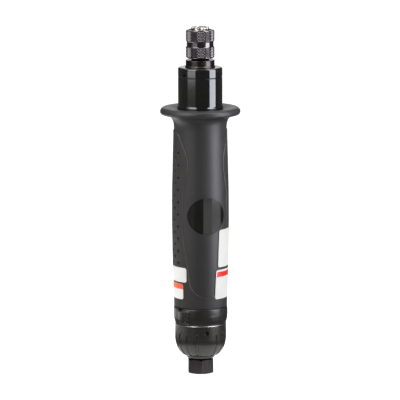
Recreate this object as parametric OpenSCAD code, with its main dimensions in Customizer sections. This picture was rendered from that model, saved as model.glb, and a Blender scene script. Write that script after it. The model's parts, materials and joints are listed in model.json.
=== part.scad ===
// Pneumatic in-line screwdriver, standing on its air inlet with the chuck upward.
// Inside are a push-to-start valve, a vane motor, two planetary stages and a ball clutch.
// The front, which carries the round badge, faces -Y. Lengths are in millimetres.

/* [Air inlet] */
// Across the flats of the inlet hexagon
hex_af = 17.5; // [16.5:0.5:20]
// Height of the inlet hexagon
hex_h = 10; // [9:0.5:16]
// Angle by which the hexagon is turned
hex_turn = 19; // [0:1:59]
// Diameter of the stem that screws into the valve body
stem_d = 16; // [15:0.25:17]
// Bore for the quarter inch hose fitting
inlet_bore_d = 11.4; // [10.4:0.2:12]
// Depth of that bore
inlet_bore_depth = 12; // [9:0.5:15]
// Throat behind the inlet bore
throat_d = 8; // [6:0.5:9]

/* [Exhaust cap] */
// Gap between the inlet hexagon and the rim of the cap
cap_gap = 1.2; // [0.8:0.1:2.5]
// Height of the cap
cap_h = 25.3; // [24:0.5:32]
// Wall of the cap round the valve body
cap_rim_t = 2.95; // [2.7:0.05:3.5]
// Wall of the rim round the exhaust outlet
rim_wall = 1.1; // [0.8:0.1:2]
// Height of that rim
rim_h = 1.6; // [1:0.1:3]
// Flute places round the cap, the front one being left plain for the set screw
flute_count = 16; // [10:1:20]
// Width of a flute
flute_w = 2.6; // [1.6:0.1:3.2]
// Depth of a flute
flute_depth = 0.6; // [0.3:0.05:0.9]
// Plain band above the flutes
plain_band_h = 6.4; // [5:0.2:9]

/* [Reversing ring] */
// Height of the ring
ring_h = 12; // [10:0.5:16]
// Wall of the ring round the valve body
ring_wall = 3.9; // [3.5:0.1:5]
// Angle that the ring turns from forward to reverse
ring_turn = 35; // [20:1:40]
// Angle of the thumb tab from the front
tab_angle = -54.5; // [-70:0.5:-50]
// Width of the thumb tab, in degrees
tab_spread = 33; // [20:1:36]
// How far the tab stands out
tab_proud = 1.6; // [0.8:0.1:2.4]

/* [Grip] */
// Thickness of the grip over the motor case, at its lower end
collar_wall = 2.55; // [2.3:0.05:3.2]
// How far the belly swells beyond the lower end
belly_swell = 1.45; // [1:0.05:3.4]
// Height of the belly above the lower end
belly_h = 61.5; // [50:0.5:72]
// Thickness of the grip over the motor case, at the bare neck
neck_wall = 2.6; // [2.1:0.05:3]
// How far the thumb guard stands out of the neck
guard_w = 9.75; // [6.5:0.05:13.5]
// Thickness of the thumb guard
guard_t = 5.2; // [3.4:0.1:6]
// Height of the flare below the thumb guard
flare_h = 10.6; // [8:0.1:14]
// How far the soft pads stand out of the hard shell
pad_proud = 0.5; // [0.3:0.05:0.9]
// How far the soft pads are let into the hard shell
pad_inlay = 0.8; // [0.4:0.05:0.9]
// Height of the lowest point of the smooth shield
shield_low_h = 8.9; // [6:0.1:14]
// Width of the shield beside the badge
badge_margin = 2.65; // [1.5:0.05:3.5]
// Diameter of a grip dimple
dimple_d = 1.9; // [1.2:0.1:2.4]
// Depth of a grip dimple
dimple_depth = 0.5; // [0.3:0.05:0.7]
// Height between the dimples of one column
dimple_pitch = 8.7; // [6:0.1:9]
// Dimples in a column
dimple_rows = 10; // [6:1:10]
// Columns of dimples on each pad
dimple_columns = 5; // [3:2:5]
// Angle between two columns
dimple_step = 12; // [9:0.5:13]
// Height of the lowest dimple above the grip's lower end
dimple_low_h = 32; // [24:0.5:34]
// Diameter of the round badge
badge_d = 26; // [20:0.5:27]
// Height of the badge's middle above the grip's lower end
badge_h = 66.5; // [55:0.5:75]

/* [Clutch housing and nose] */
// How far the bare housing steps in from the motor case
house_step = 0.3; // [0.1:0.05:0.6]
// Height of the housing above the thumb guard
housing_h = 21.4; // [19:0.2:26]
// How far the housing's foot laps over the motor case
foot_lap = 0.3; // [0.2:0.05:1]
// Height of the foot
foot_h = 2.4; // [2:0.1:5]
// Wall of the housing round the clutch
house_wall = 2.95; // [2.6:0.05:3.2]
// Height of the nose ring
nose_h = 7; // [6.2:0.1:11]
// Wall of the nose ring's spigot
nose_wall = 2.3; // [1.8:0.1:3]
// Height of the front bushing's collar
collar_h = 5; // [3:0.1:7]

/* [Chuck] */
// Push stroke that opens the valve
push_stroke = 1; // [0.6:0.05:1.2]
// Wall of the knurled sleeve at its two ends
sleeve_wall = 2; // [1.8:0.1:3]
// Height of the sleeve
sleeve_h = 19.9; // [19.4:0.1:24]
// Depth of the plain band between the knurls
band_depth = 0.65; // [0.3:0.05:0.9]
// Height of that band
band_h = 3.1; // [2:0.1:4]
// Height of the lower knurl
low_knurl_h = 8.4; // [6:0.1:9]
// Stroke of the sleeve
sleeve_stroke = 2.5; // [2:0.1:2.6]
// Diameter of the spindle in its bushing
spindle_d = 12.7; // [12:0.05:13.4]
// How far the tip stands out of the sleeve
tip_reach = 2.1; // [1.5:0.1:3]
// Across the flats of the bit socket
socket_af = 6.4; // [6.3:0.02:6.5]
// Depth of the bit socket
socket_depth = 20; // [17:0.5:24]
// Diameter of the ball that holds the bit
bit_ball_d = 3.97; // [3.9:0.01:4.05]

/* [Motor] */
// Inner diameter of the motor case
case_bore_d = 29.4; // [28:0.1:32]
// Wall of the motor case
case_wall = 1.3; // [1.1:0.05:1.8]
// Height of the rear end plate
rear_plate_h = 7; // [6.5:0.1:9]
// Height of the cylinder
cylinder_h = 40; // [34:0.5:55]
// Mean wall of the cylinder
liner_t = 3.2; // [2.8:0.1:3.6]
// Offset of the cylinder's bore from the rotor's axis
bore_offset = 1.2; // [0.8:0.05:1.4]
// Diameter of the rotor's core inside the vane slots
rotor_core_d = 9.2; // [8.4:0.1:11]
// Vanes in the rotor
vane_count = 5; // [4:1:6]
// Thickness of a vane
vane_t = 1.5; // [1:0.1:2]
// Height of the front end plate
front_plate_h = 8; // [7.5:0.1:10]

/* [Planetary gears] */
// Rim of the ring gear behind its teeth
gear_rim_t = 2.4625; // [2.25:0.0125:2.75]
// Teeth of each sun pinion
sun_teeth = 12; // [12:3:12]
// Teeth of each planet
planet_teeth = 15; // [15:3:15]
// Width of each gear
gear_w = 7; // [5:0.2:7.4]
// Thickness of the first carrier
carrier_t = 3; // [2.4:0.1:3.4]
// Diameter of the planet pins
planet_pin_d = 3; // [2.4:0.1:3.6]

/* [Clutch] */
// Height of the driving cam
drive_cam_h = 8; // [7.4:0.1:9.5]
// Height of the driven cam
driven_cam_h = 6; // [5:0.1:8]
// Balls between the cams
clutch_ball_count = 3; // [2:1:3]
// Metal of the cams on each side of a ball
ball_wall = 0.7; // [0.5:0.05:1]
// Height of the adjusting nut
nut_h = 5; // [4:0.2:7]
// Room of the clutch spring between its seat and the nut
clutch_room_h = 25.7; // [24:0.1:32]
// Curls of the clutch spring
clutch_curls = 7; // [5:1:8]

/* [Valve] */
// Step on which the motor case rests, and the reversing ring's journal below it
journal_step = 0.3; // [0.2:0.05:0.5]
// Wall between the reversing valve and the exhaust passages
passage_wall = 1.05; // [0.9:0.05:1.6]
// Gap round the throttle valve's head
poppet_gap = 1.6; // [1.2:0.1:2]
// Diameter of the push rod
rod_d = 2.2; // [1.8:0.1:2.2]

/* [Fits] */
// Radial clearance of a running fit
run_fit = 0.05; // [0.03:0.01:0.1]
// Gap between pieces that only pass each other
free_gap = 0.2; // [0.1:0.05:0.3]

/* [Hidden] */

// Smoothness of round surfaces
round_fn = 96;
// Overrun of every cut
over = 1;

// Diameters that follow the motor case
case_d = case_bore_d + 2 * case_wall;
journal_d = case_bore_d + 2 * journal_step;
cap_d = journal_d + 2 * cap_rim_t;
ring_d = journal_d + 2 * ring_wall;
base_d = case_d + 2 * collar_wall;
belly_d = base_d + 2 * belly_swell;
neck_d = case_d + 2 * neck_wall;
guard_d = neck_d + 2 * guard_w;
housing_d = case_d - 2 * house_step;
foot_d = case_d + 2 * foot_lap;
nose_d = housing_d;
clutch_bore_d = housing_d - 2 * house_wall;
collar_d = clutch_bore_d - 2 * nose_wall;
cam_play = 0.55;
cam_d = clutch_bore_d - 2 * cam_play;

// Motor
cylinder_bore_d = case_bore_d - 2 * liner_t;
rotor_d = cylinder_bore_d - 2 * bore_offset - 2 * free_gap;
vane_depth = (rotor_d - rotor_core_d) / 2;
exhaust_hole_d = 3;
exhaust_rim = 2.2;
exhaust_circle_d = case_bore_d - 2 * exhaust_rim;
exhaust_first_angle = 15;
exhaust_step_angle = 45;
exhaust_holes = 6;
supply_land = 3.5;
supply_inset = 1.3;
supply_d = 1.6;
rear_bearing_d = exhaust_circle_d - exhaust_hole_d - 2 * supply_land;
rear_journal_d = 6;
rear_bearing_w = 5;
front_bearing_d = 19;
front_journal_d = 8;
front_bearing_w = 6;
bearing_inset = 0.5;
hollow_d = rod_d + 2 * free_gap;

// Gears, whose module follows from the bore of the motor case
ring_teeth = sun_teeth + 2 * planet_teeth;
planet_count = 3;
pressure_angle = 20;
tooth_thin_share = 0.86;
tip_height_share = 0.95;
root_depth_share = 1.25;
gear_module = (case_bore_d - 2 * gear_rim_t) / (ring_teeth + 2 * root_depth_share);
centre_distance = gear_module * (sun_teeth + planet_teeth) / 2;
carrier_play = 0.6;
carrier_d = gear_module * (ring_teeth - 2) - 2 * carrier_play;
pinion_reach = 0.4;
gear_gap = 1.3;
stage_gap = 0.8;
carrier_2_t = 4;
carrier_gap = 1.1;
bearing_step = 0.75;
carrier_bearing_d = clutch_bore_d - 2 * bearing_step;
carrier_bearing_w = 6;
room_step = 1;
carrier_room_d = carrier_bearing_d - 2 * room_step;
carrier_shaft_share = 0.5;
carrier_shaft_d = carrier_bearing_d * carrier_shaft_share;
carrier_hex_step = 1.5;
carrier_hex_af = carrier_shaft_d - 2 * carrier_hex_step;
carrier_hex_h = 9.5;
housing_overlap = 2.1;
circlip_t = 1;
shaft_extra = 2.5;

// Diameters that follow the spindle
thread_step = 0.65;
thread_d = spindle_d + 2 * thread_step;
shoulder_w = 2.15;
shoulder_d = spindle_d + 2 * shoulder_w;
hex_step = 0.35;
spindle_af = spindle_d - 2 * hex_step;
pilot_step = 1.02;
pilot_d = spindle_af - 2 * pilot_step;
tip_step = 0.1;
tip_d = spindle_d - 2 * tip_step;
ring_w = 1.45;
ring_out_d = spindle_d + 2 * ring_w;
groove_depth = 0.65;
groove_d = spindle_d - 2 * groove_depth;
pocket_play = 0.3;
sleeve_pocket_d = ring_out_d + 2 * pocket_play;
sleeve_d = sleeve_pocket_d + 2 * sleeve_wall;
band_d = sleeve_d - 2 * band_depth;
release_depth = 1.05;
release_d = spindle_d + 2 * release_depth;

// Clutch
pilot_depth = 2.4;
cam_gap = 1;
clutch_ball_d = (cam_d - spindle_af) / 2 - 2 * ball_wall;
clutch_ball_circle_d = (cam_d + spindle_af) / 2;
ball_angle = 30;
ball_play = 0.1;
spring_seat_t = 2.5;
wire_share = 0.23;
clutch_wire = (cam_d - thread_d) * wire_share;
return_wire = 1;
return_curls = 3;
return_spring_h = 5.5;
spindle_hex_h = 10;
bushing_drop = 5.8;
bushing_flange_t = 2;
bushing_flange_d = cam_d;
washer_t = 1;
shoulder_t = 2.5;
nut_gap = 0.5;
nut_play = 0.95;
nut_d = clutch_bore_d - 2 * nut_play;

// Valve
exhaust_low_d = exhaust_circle_d - exhaust_hole_d;
reverse_valve_d = exhaust_low_d - 2 * passage_wall;
reverse_floor_t = 2;
reverse_wall_share = 0.2;
reverse_wall = reverse_valve_d * reverse_wall_share;
port_margin = 0.5;
port_angle = 70;
seat_rim_step = 1.95;
seat_rim_d = reverse_valve_d - 2 * seat_rim_step;
seat_step = 1.5;
seat_d = seat_rim_d - 2 * seat_step;
seat_h = 2.2;
seat_rim_h = 1;
seat_hole_share = 0.46;
seat_hole_d = seat_d * seat_hole_share;
seat_rise = 2;
chamber_play = 0.7;
chamber_d = seat_d + 2 * chamber_play;
poppet_d = chamber_d - 2 * poppet_gap;
poppet_h = 2.5;
poppet_stem_d = 3;
poppet_stem_h = 5.5;
valve_wire = 0.9;
valve_curls = 5;
pin_d = 2.5;
pin_drop = 3;
pin_bite = 1.6;
pin_cover = 1;
slot_margin = 9.5;
detent_angle = 180;
detent_ball_d = 2.5;
detent_drop = 6;
detent_wire = 0.4;
detent_curls = 3;
detent_depth = 0.3;
detent_hole_deep = 4.4;

// Cap, inlet and reversing ring
outlet_gap = 1.2;
rim_d = stem_d + 2 * outlet_gap + 2 * rim_wall;
boss_lift = 8.8;
boss_h = 8;
boss_wall = 2.6;
boss_d = stem_d + 2 * boss_wall;
thread_reach = 6;
cap_wall = 2.6;
cap_floor_t = 3.4;
dome_step = 0.4;
dome_h = 13;
dome_power = 1.8;
dome_steps = 10;
ring_rounding = 2.8;
ring_tuck = 0.95;
ring_edge = 0.5;
tab_root_share = 0.67;
tab_ridge_angle = 3;
notch_angle_w = 8;
notch_side_angle = -7;
notch_depth = 1.6;
notch_floor = 1.4;
screen_t = 0.4;
screen_h = 5;
screen_hole_d = 1;
screen_pitch = 1.9;
screen_rings = 2;
screen_rim_w = 0.6;
seal_d = 1.8;
silencer_h = boss_lift - seal_d - cap_floor_t - free_gap;
screw_d = 2.9;
screw_l = 2.2;
screw_socket_af = 1.3;
screw_drop = 5.5;

// Nose, sleeve and crown
end_play = 0.3;
sleeve_gap = push_stroke + end_play;
nose_rounding = 1.25;
spanner_d = 1.8;
spanner_lift = 1.9;
spanner_angle = -59;
ring_t = 1;
ring_lift = 1.1;
sleeve_spring_h = 4.9;
sleeve_wire = 0.5;
sleeve_curls = 3;
ball_lift = 8.9;
release_h = 3;
crown_count = 10;
crown_d = 1.7;
crown_wall = 1;
edge = 0.5;

// Heights, from the air inlet to the ring gear
z_screen = inlet_bore_depth + free_gap;
z_cap = hex_h + cap_gap;
z_boss = z_cap + boss_lift;
z_stem_top = z_boss + thread_reach;
z_ring = z_cap + cap_h;
z_seat = z_ring + seat_rise;
z_reverse = z_seat + seat_h + seat_rim_h;
z_grip = z_ring + ring_h;
z_pin = z_grip - pin_drop;
case_step = 0.4;
z_case = z_grip + case_step;
spigot_h = 7.1;
z_head = z_case + spigot_h;
z_rear = z_head;
z_cylinder = z_rear + rear_plate_h;
z_front = z_cylinder + cylinder_h;
z_gears = z_front + front_plate_h;
z_planet_1 = z_gears + gear_gap;
z_carrier_1 = z_planet_1 + gear_w + stage_gap;
z_planet_2 = z_carrier_1 + carrier_t + stage_gap;
z_carrier_2 = z_planet_2 + gear_w + stage_gap;

// Heights, from the clutch to the tip
z_housing_low = z_carrier_2 + housing_overlap;
z_bearing = z_carrier_2 + carrier_2_t + housing_overlap;
z_shaft_end = z_bearing + carrier_bearing_w + shaft_extra;
z_drive_cam = z_shaft_end + return_spring_h;
z_spindle = z_drive_cam + drive_cam_h - pilot_depth + 2 * free_gap;
z_driven_cam = z_drive_cam + drive_cam_h + cam_gap;
z_spring_seat = z_driven_cam + driven_cam_h;
z_nut = z_spring_seat + spring_seat_t + clutch_room_h;
z_washer = z_nut + nut_h + nut_gap + shoulder_t;
z_bushing = z_washer + washer_t;
z_house = z_bushing + bushing_flange_t + bushing_drop;
z_nose = z_house + nose_h;
z_collar = z_nose + collar_h;
z_sleeve = z_collar + sleeve_gap;
z_sleeve_top = z_sleeve + sleeve_h;
z_tip = z_sleeve_top + tip_reach;
z_ring_low = z_sleeve + ring_lift;
z_ring_top = z_sleeve_top - ring_t - ring_lift / 2;
z_pocket = z_ring_top - sleeve_spring_h;
z_bit_ball = z_sleeve + ball_lift;

// Heights of the grip, whose guard lies below the bare part of the housing
z_guard = z_house - housing_h;
z_flare = z_guard - guard_t - flare_h;
shield_top_h = z_flare - z_grip;
shield_half_w = badge_d / 2 + badge_margin;

// Shell radii of the grip, the soft pads standing out of them
base_r = base_d / 2 - pad_proud;
belly_r = belly_d / 2 - pad_proud;
neck_r = neck_d / 2;
grip_bore_r = case_d / 2 + run_fit;
neck_straight_h = 2;
flare_power = 1.35;
guard_top_share = 0.6;
guard_low_share = 0.38;
guard_top_r = guard_t * guard_top_share;
guard_low_r = guard_t * guard_low_share;

// Rise of the grip from its lower end to the belly: height share, radius share
lower_shares = [[0, 0], [0.3, 0.36], [0.52, 0.69], [0.76, 0.87], [1, 1]];
// Fall of the grip from the belly to the neck: height share, radius share
upper_shares = [[0, 1], [0.335, 0.9], [0.565, 0.57], [0.8, 0.27], [0.935, 0.05], [1, 0]];
// Edge of the smooth shield: height share, half width share
shield_shares = [[0, 0], [0.008, 0.33], [0.028, 0.54], [0.055, 0.68], [0.1, 0.755], [0.18, 0.825],
    [0.26, 0.888], [0.32, 0.955], [0.38, 0.995], [0.48, 1], [0.59, 1], [0.656, 0.962], [0.712, 0.885],
    [0.76, 0.825], [0.804, 0.805], [0.84, 0.822], [0.87, 0.872], [0.9, 0.95], [0.94, 1.06],
    [0.965, 1.14], [1, 1.18]];

// Points of an elliptic arc
function arc_points(cx, cy, rx, ry, from, to, steps) =
    [for (i = [0 : steps]) let (a = from + (to - from) * i / steps) [cx + rx * cos(a), cy + ry * sin(a)]];

// One coordinate of a smooth curve through four neighbouring points
function blend(a, b, c, d, t) =
    ((2 * b) + (c - a) * t + (2 * a - 5 * b + 4 * c - d) * t * t + (3 * b - a - 3 * c + d) * t * t * t) / 2;

// Smooth curve through all points, with some steps in each span
function smooth(p, steps) = [for (i = [0 : len(p) - 2]) for (k = [0 : steps - 1])
    let (a = p[max(i - 1, 0)], b = p[i], c = p[i + 1], d = p[min(i + 2, len(p) - 1)], t = k / steps)
    [blend(a[0], b[0], c[0], d[0], t), blend(a[1], b[1], c[1], d[1], t)]];

// Hard shell of the grip as [radius, height] from its lower end to the neck
grip_curve = concat(
    smooth([for (s = lower_shares) [base_r + (belly_r - base_r) * s[1], z_grip + belly_h * s[0]]], 3),
    smooth([for (s = upper_shares)
        [neck_r + (belly_r - neck_r) * s[1],
            z_grip + belly_h + (shield_top_h - belly_h - neck_straight_h) * s[0]]], 3),
    [[neck_r, z_flare - neck_straight_h], [neck_r, z_flare]]);

// Involute of the pressure angle, in degrees
function involute(a) = tan(a) * 180 / PI - a;

// Half of a tooth's angle at a radius
function tooth_half(teeth, radius, thin) =
    let (pitch = gear_module * teeth / 2, base = pitch * cos(pressure_angle))
    90 / teeth * thin + involute(pressure_angle) - involute(acos(min(1, base / max(radius, base))));

// Outline of an external gear, a tooth centred on +X
function gear_points(teeth, thin, tip, root) =
    let (pitch = gear_module * teeth / 2, out = pitch + gear_module * tip, in = pitch - gear_module * root)
    [for (i = [0 : teeth - 1]) let (at = 360 * i / teeth)
        for (s = [[in, -1], [pitch, -1], [out, -1], [out, 1], [pitch, 1], [in, 1]])
            let (a = at + s[1] * tooth_half(teeth, s[0], thin)) [s[0] * cos(a), s[0] * sin(a)]];

// Round piece with its lower end at a height
module post(d, low, high) {
    translate([0, 0, low])
        cylinder(d = d, h = high - low, $fn = round_fn);
}

// Hexagonal piece with its lower end at a height
module hex_post(af, low, high) {
    translate([0, 0, low])
        cylinder(d = af / cos(30), h = high - low, $fn = 6);
}

// Round hole through a piece
module hole(d, low, high) {
    post(d, low - over, high + over);
}

// Places its children at an angle from the front, turned outward
module at_angle(angle) {
    rotate([0, 0, angle - 90])
        children();
}

// Round cut that points outward along +X
module radial(d, from, to, z) {
    translate([from, 0, z])
        rotate([0, 90, 0])
            cylinder(d = d, h = to - from, $fn = 32);
}

// Solid of revolution through points of radius and height
module lathe(points) {
    rotate_extrude($fn = round_fn)
        polygon(points);
}

// Ball bearing with the hollows of its two shields
module bearing(d, bore, w, z) {
    land_share = 0.1;
    dish_share = 0.08;
    land = (d - bore) * land_share;
    dish = w * dish_share;
    lathe([[bore / 2, z], [bore / 2 + land, z], [bore / 2 + land, z + dish], [d / 2 - land, z + dish],
        [d / 2 - land, z], [d / 2, z], [d / 2, z + w], [d / 2 - land, z + w], [d / 2 - land, z + w - dish],
        [bore / 2 + land, z + w - dish], [bore / 2 + land, z + w], [bore / 2, z + w]]);
}

// Wire wound into a coil between two heights, one unbroken tube with closed ends
module coil(mean_d, wire, curls, low, high) {
    per_curl = 10;
    sides = 6;
    rings = curls * per_curl;
    rise = (high - low - wire) / rings;
    turned = [for (i = [0 : rings]) for (k = [0 : sides - 1])
        let (a = 360 * i / per_curl, b = 360 * k / sides, r = mean_d / 2 + wire / 2 * cos(b))
        [r * cos(a), r * sin(a), low + wire / 2 + rise * i + wire / 2 * sin(b)]];
    walls = [for (i = [0 : rings - 1]) for (k = [0 : sides - 1])
        let (n = (k + 1) % sides, p = i * sides, q = p + sides)
        each [[p + k, q + n, p + n], [p + k, q + k, q + n]]];
    caps = [for (k = [1 : sides - 2])
        each [[0, k, k + 1], [rings * sides, rings * sides + k + 1, rings * sides + k]]];
    echo("least gap between curls", rise * per_curl - wire);
    polyhedron(points = turned, faces = concat(walls, caps));
}

module inlet_bushing() {
    color("dimgray")
    difference() {
        union() {
            intersection() {
                rotate([0, 0, hex_turn])
                    hex_post(hex_af, 0, hex_h);
                lathe([[0, 0], [hex_af / 2, 0], [hex_af / 2 / cos(30), edge], [hex_af / 2 / cos(30), hex_h - edge],
                    [hex_af / 2, hex_h], [0, hex_h]]);
            }
            post(stem_d, hex_h, z_stem_top);
        }
        hole(throat_d, 0, z_stem_top);
        post(inlet_bore_d, -over, inlet_bore_depth);
        post(throat_d + 2 * screen_rim_w + 2 * run_fit, inlet_bore_depth - over, z_screen + screen_t);
    }
}

module inlet_screen() {
    outer = throat_d - 2 * run_fit;
    color("silver")
    difference() {
        union() {
            post(outer, z_screen, z_screen + screen_h);
            post(throat_d + 2 * screen_rim_w, z_screen, z_screen + screen_t);
        }
        post(outer - 2 * screen_t, z_screen - over, z_screen + screen_h - screen_t);
        for (ring = [0 : screen_rings - 1])
            for (i = [0 : max(1, ring * 6) - 1])
                rotate([0, 0, 60 * i])
                    translate([screen_pitch * ring, 0, z_screen])
                        cylinder(d = screen_hole_d, h = screen_h + over, $fn = 24);
    }
}

module inlet_seal() {
    color("black")
    translate([0, 0, z_boss - seal_d / 2])
        rotate_extrude($fn = round_fn)
            translate([stem_d / 2 + seal_d / 2, 0])
                circle(d = seal_d, $fn = 24);
}

// Outside of the cap from its rim to its top, drawn in by an inset
function cap_outline(inset) =
    let (r = cap_d / 2, foot = rim_d / 2 + dome_step, low = z_cap + rim_h)
    concat([for (i = [0 : dome_steps]) let (u = cos(90 * i / dome_steps))
        [foot + (r - foot) * pow(1 - pow(u, dome_power), 1 / dome_power) - inset, low + dome_h * (1 - u)]],
        [[r - inset, z_ring]]);

// Cut of one flute, a prism with a round top that points outward along +X
module flute_prism(top) {
    half = flute_w / 2;
    translate([rim_d / 2 - cap_floor_t / 2, 0, 0])
        rotate([90, 0, 90])
            linear_extrude(height = cap_d / 2)
                polygon(concat([[-half, z_cap - over], [half, z_cap - over]],
                    arc_points(0, top - half, half, half, 0, 180, 8)));
}

module exhaust_cap() {
    wall_d = cap_d - 2 * cap_wall;
    color("#3b3836")
    difference() {
        lathe(concat([[0, z_cap], [rim_d / 2 - dome_step, z_cap], [rim_d / 2, z_cap + rim_h]],
            cap_outline(0), [[0, z_ring]]));
        difference() {
            for (i = [1 : flute_count - 1])
                at_angle(360 * i / flute_count)
                    flute_prism(z_ring - plain_band_h);
            lathe(concat([[0, z_cap - 2 * over], [rim_d / 2, z_cap - 2 * over], [rim_d / 2, z_cap + rim_h]],
                [for (p = cap_outline(flute_depth)) if (p[0] > rim_d / 2) p], [[0, z_ring]]));
        }
        hole(stem_d + 2 * outlet_gap, z_cap, z_ring);
        lathe([[0, z_cap + cap_floor_t], [wall_d / 2 - cap_floor_t, z_cap + cap_floor_t],
            [wall_d / 2, z_cap + 3 * cap_floor_t], [wall_d / 2, z_boss + boss_h], [0, z_boss + boss_h]]);
        post(journal_d + 2 * run_fit, z_boss + boss_h, z_ring + over);
        at_angle(0)
            radial(screw_d, journal_d / 2 - over, cap_d, z_ring - screw_drop);
    }
}

module cap_set_screw() {
    color("black")
    at_angle(0)
        difference() {
            radial(screw_d - 2 * run_fit, journal_d / 2 + run_fit, journal_d / 2 + screw_l, z_ring - screw_drop);
            translate([journal_d / 2 + screw_l / 2, 0, z_ring - screw_drop])
                rotate([0, 90, 0])
                    cylinder(d = screw_socket_af / cos(30), h = screw_l, $fn = 6);
        }
}

module silencer() {
    wall_d = cap_d - 2 * cap_wall;
    color("tan")
    difference() {
        post(wall_d - 2 * cap_floor_t, z_cap + cap_floor_t, z_cap + cap_floor_t + silencer_h);
        hole(stem_d + 2 * run_fit, z_cap, z_ring);
    }
}

// Passages for the exhaust air, past the valve and the rear end plate
module exhaust_passages(low, high) {
    for (i = [0 : exhaust_holes - 1])
        at_angle(exhaust_first_angle + exhaust_step_angle * i)
            translate([exhaust_circle_d / 2, 0, low - over])
                cylinder(d = exhaust_hole_d, h = high - low + 2 * over, $fn = 32);
}

module valve_body() {
    slot_w = pin_d + 2 * free_gap;
    color("#9a9c9e")
    difference() {
        union() {
            post(boss_d, z_boss, z_boss + boss_h);
            post(journal_d, z_boss + boss_h, z_case);
            post(case_bore_d - 2 * run_fit, z_case, z_head);
        }
        post(stem_d + 2 * run_fit, z_boss - over, z_stem_top);
        post(chamber_d, z_stem_top - over, z_seat);
        post(seat_d + 2 * run_fit, z_stem_top, z_reverse);
        post(seat_rim_d + 2 * run_fit, z_seat + seat_h, z_reverse);
        post(reverse_valve_d + 2 * run_fit, z_reverse, z_head + over);
        exhaust_passages(z_boss + boss_h, z_head);
        at_angle(tab_angle - slot_margin)
            rotate_extrude(angle = ring_turn + 2 * slot_margin, $fn = round_fn)
                translate([reverse_valve_d / 2 - over, z_pin - slot_w / 2])
                    square([journal_d, slot_w]);
        at_angle(detent_angle)
            radial(detent_ball_d + 2 * run_fit, journal_d / 2 - detent_hole_deep, journal_d, z_grip - detent_drop);
    }
}

module valve_seat() {
    color("gold")
    difference() {
        union() {
            post(seat_d, z_seat, z_seat + seat_h);
            post(seat_rim_d, z_seat + seat_h, z_reverse);
        }
        hole(seat_hole_d, z_seat, z_reverse);
    }
}

module throttle_valve() {
    color("#c8b070") {
        post(poppet_d, z_seat - poppet_h, z_seat);
        post(poppet_stem_d, z_seat - poppet_h - poppet_stem_h, z_seat - poppet_h);
    }
}

module valve_spring() {
    color("silver")
    coil(poppet_d - 1.5 * valve_wire, valve_wire, valve_curls, z_stem_top, z_seat - poppet_h);
}

// Bent side of the ring from its lower to its upper edge, drawn in by an inset
function ring_outline(inset) =
    let (r = ring_d / 2 - inset, low = z_ring + free_gap, high = z_grip - free_gap)
    concat(arc_points(r - ring_tuck, low + ring_rounding, ring_tuck, ring_rounding, -90, 0, 6),
        [[r, high - 3 * ring_edge]],
        [[r - ring_edge / 2, high - ring_edge], [r - 1.5 * ring_edge, high]]);

module reversing_ring() {
    low = z_ring + free_gap;
    high = z_grip - free_gap;
    bore = journal_d + 2 * run_fit + free_gap;
    half = tab_spread / 2;
    peak = ring_d / 2 + tab_proud;
    root = ring_d / 2 - ring_tuck * tab_root_share;
    ridge = tab_ridge_angle;
    color("#2f2d2c")
    difference() {
        union() {
            lathe(concat([[journal_d / 2, low]], ring_outline(0), [[journal_d / 2, high]]));
            intersection() {
                at_angle(tab_angle)
                    translate([0, 0, low])
                        linear_extrude(height = high - low - notch_depth / 2)
                            polygon([[journal_d / 2, 0], [root * cos(half), -root * sin(half)],
                                [peak * cos(ridge), -peak * sin(ridge)], [peak, 0],
                                [peak * cos(ridge), peak * sin(ridge)], [root * cos(half), root * sin(half)]]);
                lathe([[0, low], [ring_d / 2 - ring_edge, low], [peak, low + ring_rounding / 2],
                    [peak, high - 3 * ring_edge], [ring_d / 2 - ring_edge, high], [0, high]]);
            }
        }
        hole(bore, low, high);
        at_angle(tab_angle)
            radial(pin_d + 2 * run_fit, 0, ring_d / 2 - pin_cover, z_pin);
        at_angle(tab_angle + notch_side_angle)
            translate([ring_d / 2 - notch_floor, -ring_d / 2 * sin(notch_angle_w / 2), high - notch_depth])
                cube([ring_d, ring_d * sin(notch_angle_w / 2), ring_h]);
        for (end = [0, -ring_turn])
            at_angle(detent_angle + end)
                translate([bore / 2 - detent_ball_d / 2 + detent_depth, 0, z_grip - detent_drop])
                    sphere(d = detent_ball_d, $fn = 32);
    }
}

module reversing_pin() {
    color("silver")
    at_angle(tab_angle)
        radial(pin_d, reverse_valve_d / 2 - pin_bite, ring_d / 2 - pin_cover, z_pin);
}

module reversing_valve() {
    inner = reverse_valve_d - 2 * reverse_wall;
    color("#b8a060")
    difference() {
        post(reverse_valve_d, z_reverse + free_gap, z_head - free_gap);
        post(inner, z_reverse + free_gap + reverse_floor_t, z_head);
        hole(seat_hole_d + 2 * port_margin, z_reverse, z_head);
        for (side = [0, 180])
            rotate([0, 0, side])
                rotate_extrude(angle = port_angle, $fn = round_fn)
                    translate([inner / 2 - free_gap, z_head - 3 * reverse_floor_t])
                        square([reverse_wall - 2 * port_margin, ring_h]);
        at_angle(tab_angle)
            radial(pin_d + 2 * run_fit, reverse_valve_d / 2 - pin_bite - free_gap, reverse_valve_d, z_pin);
    }
}

module detent_ball() {
    color("silver")
    at_angle(detent_angle)
        translate([(journal_d + run_fit) / 2 - detent_ball_d / 2, 0, z_grip - detent_drop])
            sphere(d = detent_ball_d, $fn = 32);
}

module detent_spring() {
    outer = (journal_d + run_fit) / 2 - detent_ball_d - detent_wire / 2;
    color("silver")
    at_angle(detent_angle)
        translate([0, 0, z_grip - detent_drop])
            rotate([0, 90, 0])
                coil(detent_ball_d - 2 * detent_wire, detent_wire, detent_curls,
                    journal_d / 2 - detent_hole_deep, outer + detent_wire);
}

// Shape between the shell and an offset of it, from the lower end to the top of the pads
module grip_band(inner, outer) {
    rotate_extrude($fn = round_fn)
        polygon(concat([for (p = grip_curve) [p[0] + outer, p[1]]],
            [for (i = [len(grip_curve) - 1 : -1 : 0]) [grip_curve[i][0] + inner, grip_curve[i][1]]]));
}

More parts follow.
